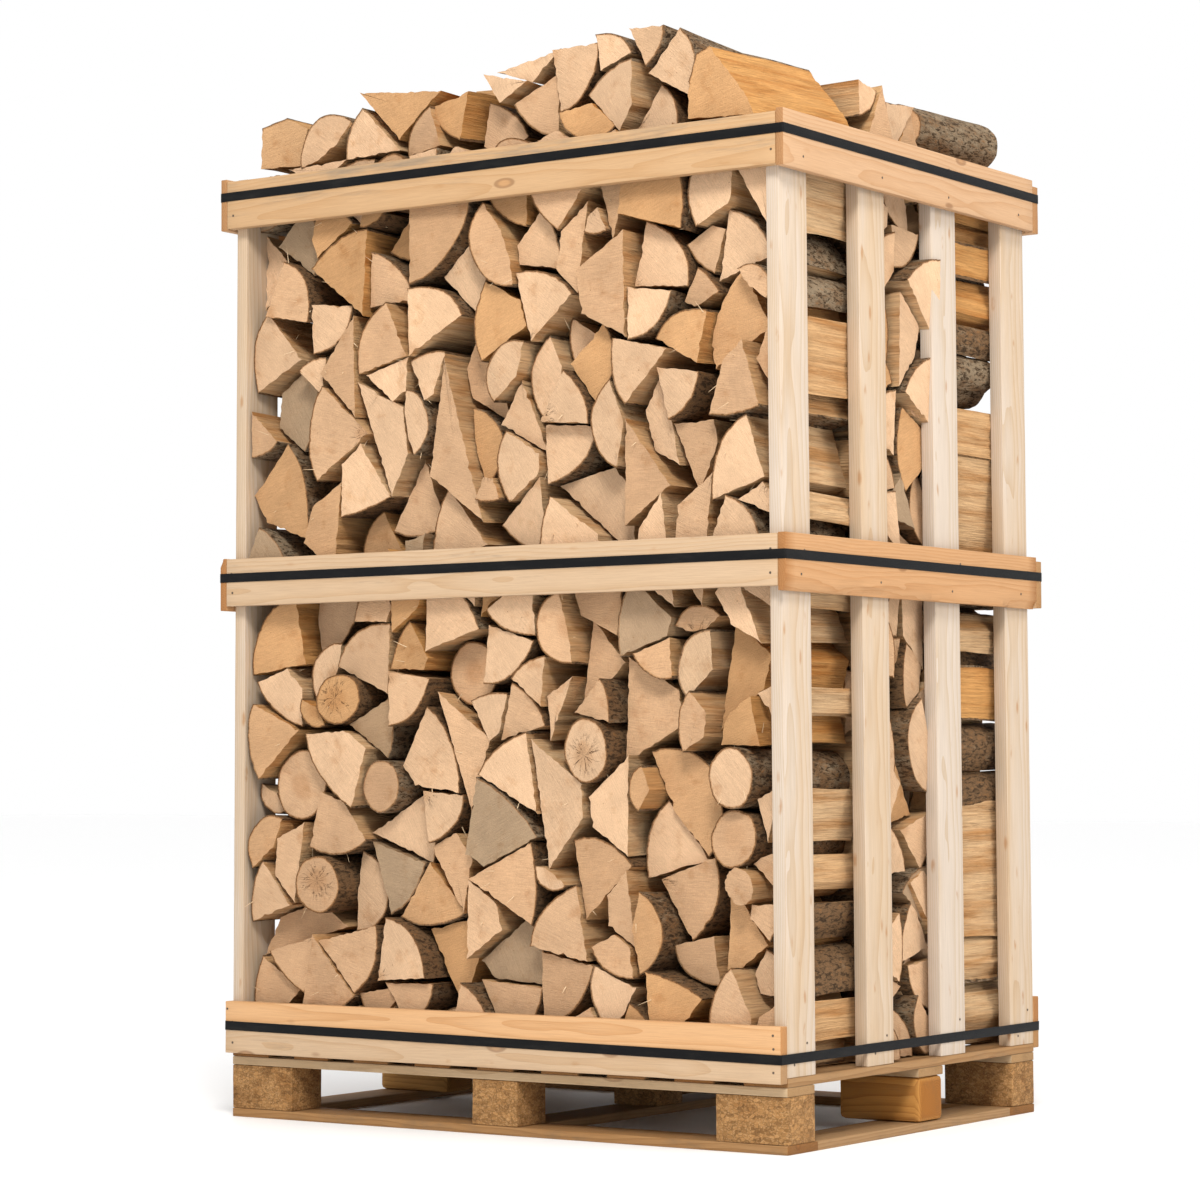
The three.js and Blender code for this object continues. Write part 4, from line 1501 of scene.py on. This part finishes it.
middle_pile = Pile("middle_row_logs")
middle_heap = Pile("middle_heap_logs")
rng = np.random.default_rng(33)
noted = min(middle_logs[-1], key=lambda log: np.hypot(*(log["points"].mean(axis=0) - NOTED_END)))
for index, column in enumerate(middle_logs):
    for log in column:
        heaped = is_heaped(log)
        pile = middle_heap if heaped else middle_pile
        low = -MIDDLE_REACH + index * COLUMN_LENGTH
        high = low + COLUMN_LENGTH - rng.uniform(0.002, 0.010)
        shift = 0.7 * recess(rng) - min(max(0.0, rng.normal(-0.006, 0.012)), STICK_OUT)
        if index == MIDDLE_COLUMNS - 1:  # seen from the right: the end at high X is the near one
            high = NOTED_FACE if log is noted else MIDDLE_FACE - shift
            add_log(pile, log, rng, high, low + 0.004 - high, "X", 6, far_cap="fan")
        elif index == 0:
            add_log(pile, log, rng, low + shift, high - low - shift, "X", 6, far_cap="fan")
        elif heaped:
            add_log(pile, log, rng, low, high - low, "X", 6)
        else:
            add_log(pile, log, rng, low, high - low, "X", 2, spacing=HIDDEN_SPACING, far_cap="fan")
show_pile(middle_pile, "split_beech", "logs_middle_row")
show_pile(middle_heap, "split_beech", "heap_middle", "log_bark_middle", "log_wedge_middle")

# %% [markdown]
# Splitting and sawing leave thin splinters on the logs. They are scattered over the last
# two centimetres of the front row, each one a thin spike turned its own way.

# %% Splinters
SPLINTERS_PER_AREA = 90.0
SPLINTER_LENGTH = 0.022
SPLINTER_ZONE = -0.400  # in front of this along Y
SPIKE_POINTS = 12
SPLINTER_PALE = (0.72, 0.56, 0.37)
SPLINTER_TAN = (0.62, 0.44, 0.26)

splinter_tree, splinter_in, splinter_out = tree_group(
    "splinters",
    [("Density", "NodeSocketFloat"), ("Length", "NodeSocketFloat"), ("Depth", "NodeSocketFloat"),
     ("Finish", "NodeSocketMaterial")],
)
m = Maker(splinter_tree)
here = m.add("GeometryNodeInputPosition").outputs[0]
y = m.add("ShaderNodeSeparateXYZ", {0: here}).outputs[1]
near_front = m.math("LESS_THAN", y, splinter_in.outputs["Depth"])
scatter = m.add("GeometryNodeDistributePointsOnFaces", {
    "Mesh": splinter_in.outputs["Geometry"], "Selection": near_front,
    "Density": splinter_in.outputs["Density"], "Seed": 5})
spike = m.add("GeometryNodeMeshCone", {
    "Vertices": 4, "Side Segments": 2, "Radius Top": 0.0002, "Radius Bottom": 0.0009,
    "Depth": splinter_in.outputs["Length"]})
astray = m.add("FunctionNodeRandomValue", {0: (-0.9, -0.9, -0.9), 1: (0.9, 0.1, 0.9), "Seed": 6},
               data_type="FLOAT_VECTOR").outputs[0]
way = m.vector_math("ADD", scatter.outputs["Normal"], astray)
facing = m.add("FunctionNodeAlignRotationToVector", {"Vector": way})
sizes = m.add("FunctionNodeRandomValue", {0: (0.6, 0.6, 0.3), 1: (1.6, 1.0, 1.3), "Seed": 7},
              data_type="FLOAT_VECTOR").outputs[0]
stood = m.add("GeometryNodeInstanceOnPoints", {
    "Points": scatter.outputs["Points"], "Instance": spike.outputs["Mesh"],
    "Rotation": facing.outputs[0], "Scale": sizes})
m.hand_out(stood.outputs[0], splinter_in.outputs["Finish"], splinter_out)


def splinter_wood():
    s = Shader("pale splinter")
    place = s.add("ShaderNodeTexCoord", out="Object")
    return s.finish(s.mix(s.noise(place, 90), SPLINTER_TAN, SPLINTER_PALE), 0.8, specular=0.1)


pale_splinter = splinter_wood()
for half_row in (front_lower, front_upper):
    row_mesh = bpy.data.objects[half_row.name].data.copy()
    spikes = run_tree(f"{half_row.name}_splinters", splinter_tree, {
        "Density": SPLINTERS_PER_AREA, "Length": SPLINTER_LENGTH, "Depth": SPLINTER_ZONE,
        "Finish": pale_splinter}, start=row_mesh)
    shown(f"{half_row.name}_splinters", spikes, None)
    print(half_row.name, "splinters", len(spikes.vertices) // SPIKE_POINTS)
